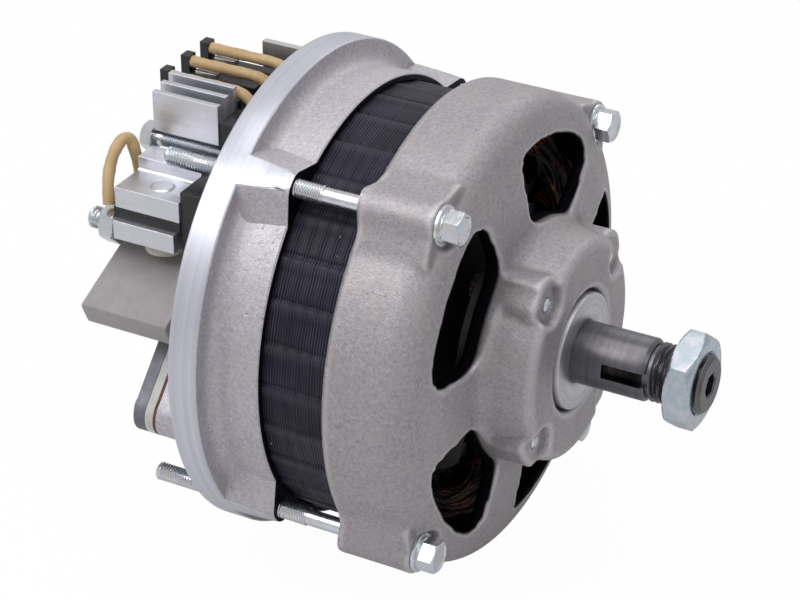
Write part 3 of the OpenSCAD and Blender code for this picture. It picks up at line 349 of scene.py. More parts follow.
class Net:
    """Adds nodes to one tree. An input that is a socket is joined, any other is set."""

    def __init__(self, tree):
        self.tree = tree

    def add(self, kind, settings=None, **inputs):
        node = self.tree.nodes.new("ShaderNode" + kind)
        for key, value in (settings or {}).items():
            setattr(node, key, value)
        for key, value in inputs.items():
            name = key.replace("_", " ")
            index = int(name[1:]) if name[0] == "i" and name[1:].isdigit() else name
            self.join(node.inputs[index], value)
        return node

    def join(self, socket, value):
        if isinstance(value, bpy.types.NodeSocket):
            self.tree.links.new(value, socket)
        else:
            socket.default_value = value

    def math(self, operation, a, b=0.0):
        return self.add("Math", {"operation": operation}, i0=a, i1=b).outputs[0]

    def times(self, a, b):
        return self.math("MULTIPLY", a, b)

    def noise(self, vector, scale, detail=3.0, rough=0.55, lean=0.0):
        return self.add("TexNoise", Vector=vector, Scale=scale, Detail=detail, Roughness=rough,
                        Distortion=lean).outputs["Fac"]

    def spread(self, value, low, high, out_low=0.0, out_high=1.0):
        """Value from low..high mapped to out_low..out_high, held at the ends."""
        return self.add("MapRange", None, Value=value, i1=low, i2=high, i3=out_low, i4=out_high).outputs[0]

    def blend(self, share, a, b):
        """Colour a where the share is 0 and b where it is 1."""
        return self.add("Mix", {"data_type": "RGBA", "clamp_factor": True}, i0=share, i6=a, i7=b).outputs[2]

    def between(self, share, a, b):
        """Number a where the share is 0 and b where it is 1."""
        return self.add("Mix", {"data_type": "FLOAT"}, i0=share, i2=a, i3=b).outputs[0]

    def split(self, vector):
        return self.add("SeparateXYZ", None, Vector=vector).outputs

    def shaft_radius(self, split):
        """Distance from the shaft's axis: the root of y squared plus z squared."""
        squares = [self.times(split[axis], split[axis]) for axis in "YZ"]
        return self.math("SQRT", self.math("ADD", *squares))

    def stored(self, label):
        """The value that the mesh keeps for each point under the label."""
        return self.add("Attribute", {"attribute_name": label, "attribute_type": "GEOMETRY"}).outputs["Fac"]

    def group(self, tree, **inputs):
        node = self.tree.nodes.new("ShaderNodeGroup")
        node.node_tree = tree
        for key, value in inputs.items():
            self.join(node.inputs[key.replace("_", " ")], value)
        return node.outputs


def rgb(r, g, b):
    return (r, g, b, 1.0)


def new_group(name, takes, gives, kind="Float"):
    """Node group that takes a vector and the named values, all of one kind, and gives the same kind."""
    tree = bpy.data.node_groups.new(name, "ShaderNodeTree")
    tree.interface.new_socket("Vector", in_out="INPUT", socket_type="NodeSocketVector")
    for label, value in takes.items():
        socket = tree.interface.new_socket(label, in_out="INPUT", socket_type="NodeSocket" + kind)
        socket.default_value = value
    for label in gives:
        tree.interface.new_socket(label, in_out="OUTPUT", socket_type="NodeSocket" + kind)
    given = tree.nodes.new("NodeGroupInput").outputs
    return tree, Net(tree), given, tree.nodes.new("NodeGroupOutput").inputs


def make_grain():
    """Bead-blasted grain: fine grit, a wider mottle and a few pits, from noise at three scales."""
    tree, net, given, out = new_group("blasted_grain", {"Grit": 2600.0, "Mottle": 160.0},
                                      ("Height", "Speckle", "Cloud", "Pits"))
    fine = net.noise(given["Vector"], given["Grit"], 2.0, 0.6)
    mid = net.noise(given["Vector"], net.times(given["Grit"], 0.42), 2.0, 0.5)
    cloud = net.noise(given["Vector"], given["Mottle"], 4.0, 0.6)
    pits = net.spread(net.noise(given["Vector"], 620.0, 1.0, 0.5), 0.74, 0.80)
    height = net.math("ADD", net.times(fine, 0.55), net.times(mid, 0.45))
    net.join(out["Height"], net.math("SUBTRACT", height, net.times(pits, 0.8)))
    net.join(out["Speckle"], net.spread(height, 0.34, 0.66))
    net.join(out["Cloud"], cloud)
    net.join(out["Pits"], pits)
    return tree


def make_turned():
    """Lathe marks: noise of x and radius only, so that lines run round the shaft axis, plus a slow band."""
    tree, net, given, out = new_group("lathe_marks", {"Fineness": 4500.0}, ("Height", "Band", "Radius"))
    split = net.split(given["Vector"])
    radius = net.shaft_radius(split)
    flat = net.add("CombineXYZ", None, X=split["X"], Y=radius, Z=0.0).outputs[0]
    drift = net.add("VectorMath", {"operation": "SCALE"}, i0=given["Vector"], Scale=0.012).outputs[0]
    lines = net.add("VectorMath", {"operation": "ADD"}, i0=flat, i1=drift).outputs[0]
    net.join(out["Height"], net.noise(lines, given["Fineness"], 3.0, 0.7))
    net.join(out["Band"], net.noise(lines, net.times(given["Fineness"], 0.12), 3.0, 0.5))
    net.join(out["Radius"], radius)
    return tree


def make_handling():
    """Signs of use: smears and dust are soft noise, scratches are the middle line of a stretched noise."""
    tree, net, given, out = new_group("handling", {"Scale": 90.0}, ("Smear", "Scratch", "Dust"))
    smear = net.noise(given["Vector"], given["Scale"], 5.0, 0.65, 0.6)
    stretched = net.add("Mapping", None, Vector=given["Vector"], Rotation=(0.4, 0.9, 0.3),
                        Scale=(1.0, 0.06, 1.0)).outputs[0]
    hair = net.noise(stretched, net.times(given["Scale"], 9.0), 2.0, 0.5)
    line = net.math("ABSOLUTE", net.math("SUBTRACT", hair, 0.5))
    net.join(out["Smear"], net.spread(smear, 0.35, 0.70))
    net.join(out["Scratch"], net.spread(line, 0.012, 0.0))
    dust = net.noise(given["Vector"], net.times(given["Scale"], 22.0), 2.0, 0.6)
    net.join(out["Dust"], net.spread(dust, 0.62, 0.75))
    return tree


def make_plating():
    """Bright zinc: cool base with faint pink, blue and straw patches from two slow noises."""
    tree, net, given, out = new_group("plating", {"Base": (0.72, 0.76, 0.80, 1.0)}, ("Color",), "Color")
    hue = net.noise(given["Vector"], 190.0, 2.0, 0.5)
    second = net.noise(given["Vector"], 330.0, 2.0, 0.5, 0.4)
    pink = net.blend(net.spread(hue, 0.50, 0.66, 0.0, 0.5), given["Base"], rgb(0.80, 0.70, 0.76))
    blue = net.blend(net.spread(hue, 0.46, 0.32, 0.0, 0.55), pink, rgb(0.58, 0.70, 0.80))
    straw = net.blend(net.spread(second, 0.55, 0.70, 0.0, 0.35), blue, rgb(0.82, 0.79, 0.62))
    net.join(out["Color"], straw)
    return tree


GRAIN, LATHE, HANDLING, PLATING = make_grain(), make_turned(), make_handling(), make_plating()


def empty_net(block):
    """The net of a material or world, without the nodes that it starts with."""
    block.use_nodes = True
    block.node_tree.nodes.clear()
    return Net(block.node_tree)


def start_material(name):
    """New material: its net, its Principled shader and Object coordinates."""
    material = bpy.data.materials.new(name)
    net = empty_net(material)
    shader = net.add("BsdfPrincipled")
    net.add("OutputMaterial", None, i0=shader.outputs[0])
    return material, net, shader, net.add("TexCoord").outputs["Object"]


def finish_material(net, shader, color, rough, height, strength, distance, **plain):
    """Joins colour, roughness and bump, and sets the shader's own constant sockets."""
    net.join(shader.inputs["Base Color"], color)
    net.join(shader.inputs["Roughness"], rough)
    bump = net.add("Bump", None, Strength=strength, Distance=distance, Height=height)
    net.join(shader.inputs["Normal"], bump.outputs[0])
    for key, value in plain.items():
        net.join(shader.inputs[key.replace("_", " ")], value)


def window(net, value, centre, half, soft):
    """1 where value lies within half of centre, with soft edges."""
    off = net.math("ABSOLUTE", net.math("SUBTRACT", value, centre))
    return net.spread(off, half + soft, half)


def in_plane(net, split, x):
    """1 on a flat face at x millimetres along the shaft."""
    return window(net, split["X"], x * MM, 0.2 * MM, 0.1 * MM)


def scaled(color, factor):
    """A colour brightened or darkened by a factor, no channel past 1."""
    return rgb(*(min(1, c * factor) for c in color))


def casting(name, tone, machined_of, painted_shade_of):
    """Blasted aluminium: grain, mottle, proud edges paler as rubbed wear and painted highlight, painted
    shade in hollows, machined faces, a painted shade inside.
    """
    material, net, shader, where = start_material(name)
    grain = net.group(GRAIN, Vector=where, Grit=2300.0)
    lathe = net.group(LATHE, Vector=where)
    use = net.group(HANDLING, Vector=where, Scale=60.0)
    edge = net.stored("edge")
    warm = rgb(tone[0] * 1.04, tone[1] * 0.99, tone[2] * 0.92)
    color = net.blend(grain["Speckle"], scaled(tone, 0.74), scaled(tone, 1.24))
    color = net.blend(net.spread(grain["Cloud"], 0.40, 0.65, 0.0, 0.45), color, warm)
    color = net.blend(net.times(use["Smear"], 0.12), color, rgb(0.25, 0.24, 0.24))
    color = net.blend(net.times(grain["Pits"], 0.3), color, rgb(0.12, 0.11, 0.11))
    # Painted shade: darker where a point lies below its surroundings, in hollows and creases.
    color = net.blend(net.spread(edge, -0.12, -0.8, 0.0, 0.5), color, rgb(0.13, 0.12, 0.12))
    # Paler proud edges: partly rubbed wear, partly a painted highlight.
    proud = net.spread(edge, 0.30, 0.9, 0.0, 0.45)
    color = net.blend(proud, color, rgb(0.70, 0.69, 0.70))
    rough = net.spread(grain["Cloud"], 0.3, 0.7, 0.60, 0.50)
    rough = net.math("SUBTRACT", rough, net.times(proud, 0.12))
    split = net.split(where)
    turned_mask = machined_of(net, split, lathe["Radius"])
    bright = net.blend(net.spread(lathe["Band"], 0.35, 0.65), rgb(0.56, 0.57, 0.64), rgb(0.65, 0.66, 0.73))
    bright = net.blend(net.times(use["Scratch"], 0.15), bright, rgb(0.45, 0.45, 0.46))
    color = net.blend(turned_mask, color, bright)
    sheen = net.spread(lathe["Height"], 0.3, 0.7, 0.33, 0.46)
    rough = net.between(turned_mask, rough, sheen)
    height = net.between(turned_mask, grain["Height"], net.times(lathe["Height"], 0.25))
    # Painted shade: near black, and more metallic so that it reflects little, inside the drive end housing
    # and on the rear rim's shadow line.
    varnish = net.spread(painted_shade_of(net, split), 0.25, 0.75)
    color = net.blend(varnish, color, rgb(0.009, 0.007, 0.011))
    metal = net.math("ADD", 0.70, net.times(varnish, 0.28))
    finish_material(net, shader, color, rough, height, 0.65, 0.00026, Metallic=metal)
    return material


def rear_machined(net, split, radius):
    """Turned faces of the rear housing: the flange's rim and its rear face."""
    rim = net.spread(radius, (FLANGE_R - 0.32) * MM, (FLANGE_R - 0.22) * MM)
    outer = net.spread(radius, (REAR_FACE_R - 0.1) * MM, (REAR_FACE_R + 0.1) * MM)
    return net.math("MAXIMUM", rim, net.times(in_plane(net, split, 0.0), outer))


def rear_painted_shadow(net, split):
    """Painted shadow line on the rear housing's front rim, where the sheets meet it."""
    return net.spread(split["X"], (REAR_RIM_X - 0.35) * MM, (REAR_RIM_X - 0.15) * MM, 0.0, 0.9)


def front_machined(net, split, radius):
    """Turned face of the drive end housing: its rear rim."""
    return in_plane(net, split, FRONT_RIM_X)


def front_painted_shade(net, split):
    """Painted shade inside the drive end housing and on the windows' walls."""
    return net.stored("hollow")


def metal_part(name, color, rough=(0.25, 0.4), lathe_lines=True, metal=1.0, grit=4200.0, depth=0.25,
               stain=0.2, pocket=None):
    """Machined or drawn metal: lathe lines or fine grain, smears, scratches.

    A turned part's pocket is (x0, x1, r): between these stations, all that lies deeper than r is made near
    black.
    """
    material, net, shader, where = start_material(name)
    use = net.group(HANDLING, Vector=where, Scale=140.0)
    if lathe_lines:
        marks = net.group(LATHE, Vector=where, Fineness=grit)
        height, band = marks["Height"], marks["Band"]
    else:
        marks = net.group(GRAIN, Vector=where, Grit=grit)
        height, band = marks["Height"], marks["Cloud"]
    tint = net.blend(net.spread(band, 0.3, 0.7), scaled(color, 0.72), rgb(*color))
    tint = net.blend(net.times(use["Smear"], stain), tint, scaled(color, 0.55))
    tint = net.blend(net.times(use["Scratch"], 0.25), tint, scaled(color, 1.35))
    if pocket:
        x0, x1, r = pocket
        along = window(net, net.split(where)["X"], (x0 + x1) / 2 * MM, (x1 - x0) / 2 * MM, 0.1 * MM)
        deep = net.times(along, net.spread(marks["Radius"], r * MM, (r - 0.3) * MM))
        # Deep parts of the pocket made near black, mottled by the smear noise.
        pocket_near_black = net.blend(net.spread(use["Smear"], 0.2, 0.8), rgb(0.012, 0.010, 0.010),
                        rgb(0.055, 0.046, 0.044))
        tint = net.blend(deep, tint, pocket_near_black)
    finish_material(net, shader, tint, net.spread(height, 0.3, 0.7, *rough), height, depth, 0.0001,
                    Metallic=metal)
    return material


def zinc_part(name, base=(0.72, 0.76, 0.80), rough=(0.16, 0.32)):
    """Bright plated steel with its faint colours and tiny dents."""
    material, net, shader, where = start_material(name)
    plate = net.group(PLATING, Vector=where, Base=rgb(*base))
    grain = net.group(GRAIN, Vector=where, Grit=1500.0, Mottle=500.0)
    use = net.group(HANDLING, Vector=where, Scale=200.0)
    color = net.blend(net.times(use["Smear"], 0.25), plate["Color"], rgb(0.42, 0.44, 0.46))
    finish_material(net, shader, color, net.spread(grain["Cloud"], 0.3, 0.7, *rough), grain["Height"], 0.12,
                    0.0001, Metallic=0.96)
    return material


def moulded(name, color, rough=(0.35, 0.5), grit=1600.0, depth=0.2, mottle=0.25, dust=0.25):
    """Moulded plastic or resin: fine texture, faint mottle, specks of dust."""
    material, net, shader, where = start_material(name)
    grain = net.group(GRAIN, Vector=where, Grit=grit, Mottle=240.0)
    use = net.group(HANDLING, Vector=where, Scale=120.0)
    scraped = rgb(*(min(1, c * 1.5 + 0.05) for c in color))
    tint = net.blend(net.spread(grain["Cloud"], 0.35, 0.68), rgb(*color), scaled(color, 1 - mottle))
    tint = net.blend(net.times(use["Dust"], dust), tint, rgb(0.45, 0.43, 0.40))
    tint = net.blend(net.times(use["Scratch"], 0.2), tint, scraped)
    finish_material(net, shader, tint, net.spread(grain["Speckle"], 0.0, 1.0, *rough), grain["Height"],
                    depth, 0.00012)
    return material


def lamination_material():
    """Black varnish over stacked sheets: a sine of x for their lines, navy tint, paler bands on the raised
    ridges as painted highlight, and chips.
    """
    line_pitch = 0.78 * MM
    material, net, shader, where = start_material("varnished_sheets")
    split = net.split(where)
    grain = net.group(GRAIN, Vector=where, Grit=1900.0, Mottle=110.0)
    use = net.group(HANDLING, Vector=where, Scale=110.0)
    wobble = net.times(net.noise(where, 300.0, 2.0), 0.00010)
    phase = net.times(net.math("ADD", split["X"], wobble), TAU / line_pitch)
    wave = net.times(net.math("ADD", net.math("SINE", phase), 1.0), 0.5)
    color = net.blend(net.spread(grain["Cloud"], 0.35, 0.65), rgb(0.006, 0.006, 0.011),
                      rgb(0.013, 0.012, 0.026))
    # Paler colour on the raised ridges: painted highlight.
    band = net.spread(net.shaft_radius(split), (STACK_R - 0.42) * MM, (STACK_R - 0.15) * MM)
    sharp = net.math("POWER", wave, 3.0)
    patch = net.spread(net.noise(where, 75.0, 2.0), 0.35, 0.62, 0.25, 1.0)
    color = net.blend(net.times(sharp, patch), color, rgb(0.075, 0.070, 0.105))
    color = net.blend(net.times(band, 0.45), color, rgb(0.060, 0.058, 0.078))
    color = net.blend(net.times(use["Dust"], 0.15), color, rgb(0.12, 0.12, 0.13))
    chip = net.times(net.spread(net.noise(where, 900.0, 2.0), 0.665, 0.70),
                     net.spread(net.noise(where, 60.0, 1.0), 0.60, 0.66))
    color = net.blend(chip, color, rgb(0.55, 0.52, 0.42))
    height = net.math("ADD", net.times(wave, 0.7), net.times(grain["Height"], 0.4))
    finish_material(net, shader, color, net.spread(grain["Cloud"], 0.3, 0.7, 0.40, 0.56), height, 0.8,
                    0.00012, Specular_IOR_Level=0.22)
    return material


def wire_material():
    """Enamelled copper under dark varnish: black, with red-orange bare wire and painted glints on the
    strands' tops in patches.
    """
    material, net, shader, where = start_material("varnished_wire")
    strand = net.stored("strand")
    patch = net.noise(where, 95.0, 3.0, 0.6)
    fine = net.noise(where, 900.0, 2.0, 0.6)
    # Orange on the strands' crests: bare copper and painted glints.
    copper_and_glint = net.times(net.spread(patch, 0.50, 0.60), net.spread(strand, 0.72, 0.97))
    color = net.blend(net.spread(fine, 0.3, 0.7), rgb(0.003, 0.002, 0.004), rgb(0.010, 0.004, 0.006))
    copper = net.blend(net.spread(fine, 0.35, 0.65), rgb(0.55, 0.08, 0.015), rgb(0.95, 0.30, 0.07))
    color = net.blend(copper_and_glint, color, copper)
    finish_material(net, shader, color, net.spread(fine, 0.3, 0.7, 0.34, 0.52), fine, 0.2, 0.0001,
                    Metallic=net.times(copper_and_glint, 0.8), Specular_IOR_Level=0.12)
    return material


def coil_material():
    """Field coil: turns of wire side by side along X, the size of a sine, under amber varnish."""
    two_turns = 1.6 * MM
    material, net, shader, where = start_material("field_wire")
    phase = net.times(net.split(where)["X"], TAU / two_turns)
    wave = net.math("ABSOLUTE", net.math("SINE", phase))
    patch = net.noise(where, 150.0, 3.0, 0.6)
    color = net.blend(net.spread(wave, 0.2, 0.9), rgb(0.05, 0.015, 0.01), rgb(0.34, 0.11, 0.04))
    color = net.blend(net.spread(patch, 0.55, 0.7, 0.0, 0.6), color, rgb(0.04, 0.02, 0.015))
    finish_material(net, shader, color, net.spread(patch, 0.3, 0.7, 0.22, 0.40), wave, 0.8, 0.0002,
                    Metallic=0.4)
    return material


def sleeve_material():
    """Varnished glass-fibre sleeve, amber to cream: a braid from two crossing waves of the piece's map."""
    yarns, braid_pitch_mm = 14, 0.9
    material, net, shader, where = start_material("glass_sleeve")
    split = net.split(net.add("UVMap", {"uv_map": "along"}).outputs[0])
    around = net.times(split["X"], yarns * TAU)
    along = net.times(split["Y"], TAU / braid_pitch_mm)
    one = net.math("SINE", net.math("ADD", along, around))
    two = net.math("SINE", net.math("SUBTRACT", along, around))
    braid = net.times(net.math("ADD", net.times(one, two), 1.0), 0.5)
    soak = net.noise(where, 130.0, 3.0, 0.6)
    fine = net.noise(where, 2000.0, 2.0, 0.5)
    color = net.blend(net.spread(soak, 0.34, 0.68), rgb(0.66, 0.46, 0.23), rgb(0.47, 0.29, 0.12))
    color = net.blend(net.times(braid, 0.22), color, rgb(0.76, 0.62, 0.38))
    color = net.blend(net.spread(fine, 0.60, 0.75, 0.0, 0.4), color, rgb(0.36, 0.23, 0.11))
    height = net.math("ADD", net.times(braid, 0.5), net.times(fine, 0.3))
    finish_material(net, shader, color, net.spread(soak, 0.3, 0.7, 0.38, 0.55), height, 0.35, 0.00012)
    return material


def brushed_along(name, color, way):
    """Extruded aluminium: noise stretched along one axis for its draw lines, with scratches and pits."""
    material, net, shader, where = start_material(name)
    stretch = {"X": (0.03, 1, 1), "Y": (1, 0.03, 1), "Z": (1, 1, 0.03)}[way]
    drawn = net.add("Mapping", None, Vector=where, Scale=stretch).outputs[0]
    lines = net.noise(drawn, 2600.0, 3.0, 0.7)
    grain = net.group(GRAIN, Vector=where, Grit=3000.0, Mottle=220.0)
    use = net.group(HANDLING, Vector=where, Scale=150.0)
    tint = net.blend(net.spread(lines, 0.3, 0.7), scaled(color, 0.84), rgb(*color))
    tint = net.blend(net.spread(grain["Cloud"], 0.45, 0.7, 0.0, 0.25), tint, scaled(color, 0.7))
    tint = net.blend(net.times(use["Scratch"], 0.3), tint, rgb(0.95, 0.95, 0.96))
    tint = net.blend(net.times(grain["Pits"], 0.4), tint, rgb(0.35, 0.34, 0.33))
    height = net.math("ADD", net.times(lines, 0.5), net.times(grain["Height"], 0.25))
    finish_material(net, shader, tint, net.spread(lines, 0.3, 0.7, 0.28, 0.42), height, 0.22, 0.00012,
                    Metallic=0.88)
    return material


CAST_FRONT = casting("blasted_front", (0.420, 0.398, 0.422), front_machined, front_painted_shade)
CAST_REAR = casting("blasted_rear", (0.550, 0.530, 0.580), rear_machined, rear_painted_shadow)
LAMINATION = lamination_material()
WIRE = wire_material()
COIL = coil_material()
SLEEVE = sleeve_material()
ZINC = zinc_part("bright_zinc")
NUT_ZINC = zinc_part("blue_zinc", (0.48, 0.56, 0.62), (0.24, 0.40))
SINK = brushed_along("drawn_aluminium", (0.73, 0.735, 0.79), "X")
PLATE = brushed_along("rolled_aluminium", (0.74, 0.75, 0.77), "Z")
SHAFT = metal_part("ground_shaft", (0.17, 0.165, 0.18), (0.26, 0.42), grit=5200.0, depth=0.3,
                   pocket=(94.5, 104.8, 8.3))
COLLAR = metal_part("turned_collar", (0.66, 0.65, 0.67), (0.30, 0.45), grit=3800.0, depth=0.4)
BEARING = metal_part("ground_race", (0.60, 0.61, 0.63), (0.12, 0.22), grit=6000.0, depth=0.15)
CAGE = metal_part("pressed_cage", (0.66, 0.50, 0.24), (0.25, 0.4), lathe_lines=False)
PRESSED = metal_part("pressed_steel", (0.45, 0.45, 0.46), (0.35, 0.5), lathe_lines=False, depth=0.3)
IRON = metal_part("varnished_iron", (0.030, 0.026, 0.027), (0.45, 0.65), lathe_lines=False, metal=0.2,
                  depth=0.5)
COPPER = metal_part("turned_copper", (0.80, 0.42, 0.24), (0.15, 0.3), grit=5200.0)
SPRING = metal_part("drawn_wire", (0.55, 0.55, 0.57), (0.2, 0.35), lathe_lines=False)
TINNED = metal_part("tinned_tag", (0.66, 0.65, 0.62), (0.3, 0.45), lathe_lines=False)
BLACK = moulded("black_moulding", (0.016, 0.016, 0.018), (0.30, 0.48), 1500.0, 0.3, 0.3, 0.12)
DIODE = moulded("diode_resin", (0.07, 0.07, 0.075), (0.35, 0.5))
CREAM = moulded("cream_moulding", (0.72, 0.73, 0.58), (0.25, 0.38), dust=0.08)
CAPACITOR = moulded("capacitor_case", (0.40, 0.375, 0.375), (0.42, 0.55), 1300.0, 0.25, 0.12, 0.10)
WHITE = moulded("white_moulding", (0.72, 0.71, 0.67), (0.35, 0.5), dust=0.12)
GASKET = moulded("fibre_gasket", (0.17, 0.075, 0.035), (0.6, 0.8), 1200.0, 0.5, 0.45, 0.1)
CARBON = moulded("pressed_carbon", (0.035, 0.035, 0.038), (0.5, 0.65), 1800.0, 0.3, 0.3, 0.2)
COVER = metal_part("rough_cover", (0.25, 0.26, 0.29), (0.5, 0.68), lathe_lines=False, metal=0.55,
                   grit=900.0, depth=0.9, stain=0.45)


# Castings

def bolt_places(circle=BOLT_CIRCLE):
    """Y, Z and clock angle of each of the four screws on a circle."""
    for k in range(4):
        a = BOLT_CLOCK + 90 * k
        yield circle * math.cos(math.radians(a)), circle * math.sin(math.radians(a)), a


def boss_nearness(co, reach):
    """1 near a through bolt's line, falling to 0 at 1.3 times the reach."""
    away = np.min([np.hypot(co[:, 1] - y, co[:, 2] - z) for y, z, _ in bolt_places()], axis=0)
    return np.clip(1.3 - away / reach, 0, 1)


def front_weight(co):
    """Rubbing of the drive end housing: slight all over, strong on the bosses' sides, none at its rim."""
    r = np.hypot(co[:, 1], co[:, 2])
    away_from_rim = np.clip((co[:, 0] - FRONT_RIM_X - 0.8) / 2.0, 0, 1)
    outside = np.clip((r - 60.0) / 3.0, 0, 1)
    seat = np.clip(1 - (co[:, 0] - 60.5) / 2.5, 0, 1)
    lump = boss_nearness(co, 17.0) * outside * seat
    return away_from_rim * (0.012 + 0.85 * lump)


def rim_outline(node, x0):
    """Angles and radii of the solid's outer corner in the plane x0, bolt holes left out, kinks smoothed."""
    co = read(nodes[node].data.vertices, "co").astype(float) / MM
    r = np.hypot(co[:, 1], co[:, 2])
    on = (np.abs(co[:, 0] - x0) < 0.02) & (r > STACK_R + 2) & (boss_nearness(co, 2.5) < 0.05)
    theta = angles(720)
    outline = np.interp(theta, np.arctan2(co[on, 2], co[on, 1]), r[on], period=TAU)
    return theta, np.mean([np.roll(outline, k) for k in range(-4, 5)], axis=0)


RIM_OUTLINE = rim_outline("drive_end_housing", FRONT_RIM_X)


def front_back(co):
    """Puts the rear rim's plane and its outer corner back."""
    co = co.copy()
    r = np.hypot(co[:, 1], co[:, 2])
    outline = np.interp(np.arctan2(co[:, 2], co[:, 1]), *RIM_OUTLINE, period=TAU)
    corner = (co[:, 0] < FRONT_RIM_X + 0.55) & (r > outline - 0.45)
    co[corner, 1:] *= (outline[corner] / r[corner])[:, None]
    co[corner | (np.abs(co[:, 0] - FRONT_RIM_X) < 0.35), 0] = FRONT_RIM_X
    return co


def front_hollow(co, normal):
    """1 inside the drive end housing and on the windows' walls, 0 on its outside.

    Walls are what doesn't face forwards within the windows' outer arc. The inside is what faces the axis.
    """
    x, r = co[:, 0], np.hypot(co[:, 1], co[:, 2])
    inward = -(normal[:, 1] * co[:, 1] + normal[:, 2] * co[:, 2]) / np.maximum(r, 1)
    within_arc = np.clip(58.5 - r, 0, 1)
    walls = within_arc * np.clip((0.62 - normal[:, 0]) * 4, 0, 1) * np.clip(FACE_X + 0.3 - x, 0, 1)
    return np.maximum(walls, np.clip(inward * 4, 0, 1) * np.clip(FACE_X - 1.4 - x, 0, 1))


cast_piece("drive_end_housing", "front_casting", "stator_frame", CAST_FRONT, 0.78,
           front_weight, front_back, front_hollow)
softened("rear_housing", "stator_frame", CAST_REAR, 0.35, 3)


# Stator

def stack_outer(theta, bands=32):
    """Outer radius of the sheets: raised bands round the turn, each with a groove beside it."""
    saw = np.mod(theta * bands / TAU + 0.3, 1.0)
    raised = np.clip(saw / 0.05, 0, 1) * np.clip((0.34 - saw) / 0.22, 0, 1)
    groove = np.clip(1 - np.abs(saw - 0.94) / 0.06, 0, 1)
    return STACK_R - 0.50 + 0.42 * raised - 0.45 * groove


def stator_grid():
    """Closed ring: sheets stepped along X outside, end faces, and a bore with steps at its slots."""
    theta = angles(720)
    sheets, slot_half, mouth_half = 31, 1.5, 0.83
    step = (STACK_X1 - STACK_X0) / sheets
    xs, dips = [], []
    for k in range(sheets):
        low = STACK_X0 + k * step
        xs += [low, low + 0.25 * step, low + 0.8 * step]
        dips += [0.10, 0.0, 0.0]
    xs.append(STACK_X1)
    dips.append(0.1)
    x, dip = np.array(xs)[:, None], np.array(dips)[:, None]
    outer = about(x, stack_outer(theta)[None, :] - dip, theta[None, :])
    cell = np.abs(np.mod(theta * SLOTS / TAU + 0.5, 1.0) - 0.5) * TAU / SLOTS
    bore = np.full(len(theta), STACK_BORE)
    bore[cell * 50 < slot_half] = STACK_BORE + 1.7
    bore[cell * STACK_BORE < mouth_half] = STACK_BORE + 10.3
    inner_x = np.array([STACK_X1, STACK_X0])[:, None]
    inner = about(inner_x, bore[None, :], theta[None, :])
    return skin(np.concatenate([outer, inner]), loop_rows=True)


build("stator_sheets", *stator_grid(), "stator_frame", "lamination", LAMINATION, ("stator_core",), 32)


def end_turns(side):
    """End turns of one side: a bundle leaves each slot, arches over its neighbours and dips back later.

    The arch is a half sine to a low power, and the bundle's round section has a ripple for each wire.
    """
    base = STACK_X1 + 0.4 if side > 0 else STACK_X0 - 0.4
    rows, cols, wires, slots_on = 26, 32, 8, 7
    t = np.linspace(0, 1, rows)
    parts, strands = [], []
    for k in range(SLOTS):
        layer = k % 3
        turn = (k + slots_on * t) * TAU / SLOTS
        lift = np.sin(math.pi * t) ** 0.55
        x = base + side * (0.8 + (5.9 + 1.1 * layer) * lift)
        r = 48.2 + 1.7 * layer + 0.48 * np.sin(TAU * t + k) + 2.0 * np.sin(math.pi * t)
        path = np.stack([x, r * np.cos(turn), r * np.sin(turn)], -1)
        phi = angles(cols)[None, :]
        ripple = np.cos(wires * phi + 5 * t[:, None] + k)
        radius = 1.75 + 0.20 * ripple + 0.12 * np.sin(9 * t[:, None] + 2.1 * k)
        parts.append(capped(sweep(path, radius, (1, 0, 0), cols)))
        strands.append(np.concatenate([np.zeros(cols), (0.5 + 0.5 * ripple).ravel(), np.zeros(cols)]))
    return joined(parts), np.concatenate(strands)


def slot_bars():
    """Copper in the slots: a bar of rectangular section along X in each."""
    parts = []
    half, low, high, past = 1.25, 45.7, 53.4, 1.5
    corner = np.array([[low, -half], [high, -half], [high, half], [low, half]])
    for k in range(SLOTS):
        a = TAU * k / SLOTS
        y = corner[:, 0] * math.cos(a) - corner[:, 1] * math.sin(a)
        z = corner[:, 0] * math.sin(a) + corner[:, 1] * math.cos(a)
        loop = np.stack([np.zeros(4), y, z], -1)
        rows = [loop + np.array([x, 0, 0]) for x in (STACK_X0 - past, STACK_X1 + past)]
        parts.append(capped(np.stack(rows)))
    return joined(parts)


def winding():
    """Both sides' end turns and the slot bars as one piece, with the strand value on every point."""
    front, front_strand = end_turns(1)
    rear, rear_strand = end_turns(-1)
    bars = slot_bars()
    mesh = quad_mesh("stator_wires", *joined([front, rear, bars]))
    store(mesh, "strand", np.concatenate([front_strand, rear_strand, np.zeros(len(bars[0]))]))
    tidy_mesh(mesh)
    return place(mesh, "stator_wires", "stator_frame", WIRE, ("stator_winding",), 60)


winding()


# Through bolts, washers and other screws

def zinc_build(name, grid, node):
    """A bright zinc piece on the stator frame, in place of a node."""
    build(name, *grid, "stator_frame", "zinc", ZINC, (node,), 30)


def through_bolts():
    """Rolled thread at the rear, plain waist, hexagon head with its washer face."""
    head_x = BOLT_SEAT_X + 1.0
    rod = [(-15.5, -14.9, 1.9, 2.5, 0, 0), (-14.9, 0.0, 2.5, 2.5, 0.8, 0.42),
           (0.0, REAR_RIM_X, 2.3, 2.3, 0, 0), (REAR_RIM_X, 31.0, 2.5, 2.5, 0.8, 0.42),
           (31.0, 31.6, 2.2, 2.2, 0, 0), (31.6, head_x + 0.2, 2.2, 2.2, 0, 0)]
    parts = []
    for y, z, a in bolt_places():
        parts.append(threaded_rod(rod, (y, z), 20))
        parts.append(hex_prism(head_x, head_x + 5.0, 8.0, 12 + a, (y, z), dish=0.35, washer=0.5))
    return joined(parts)


zinc_build("long_bolts", through_bolts(), "through_bolts")


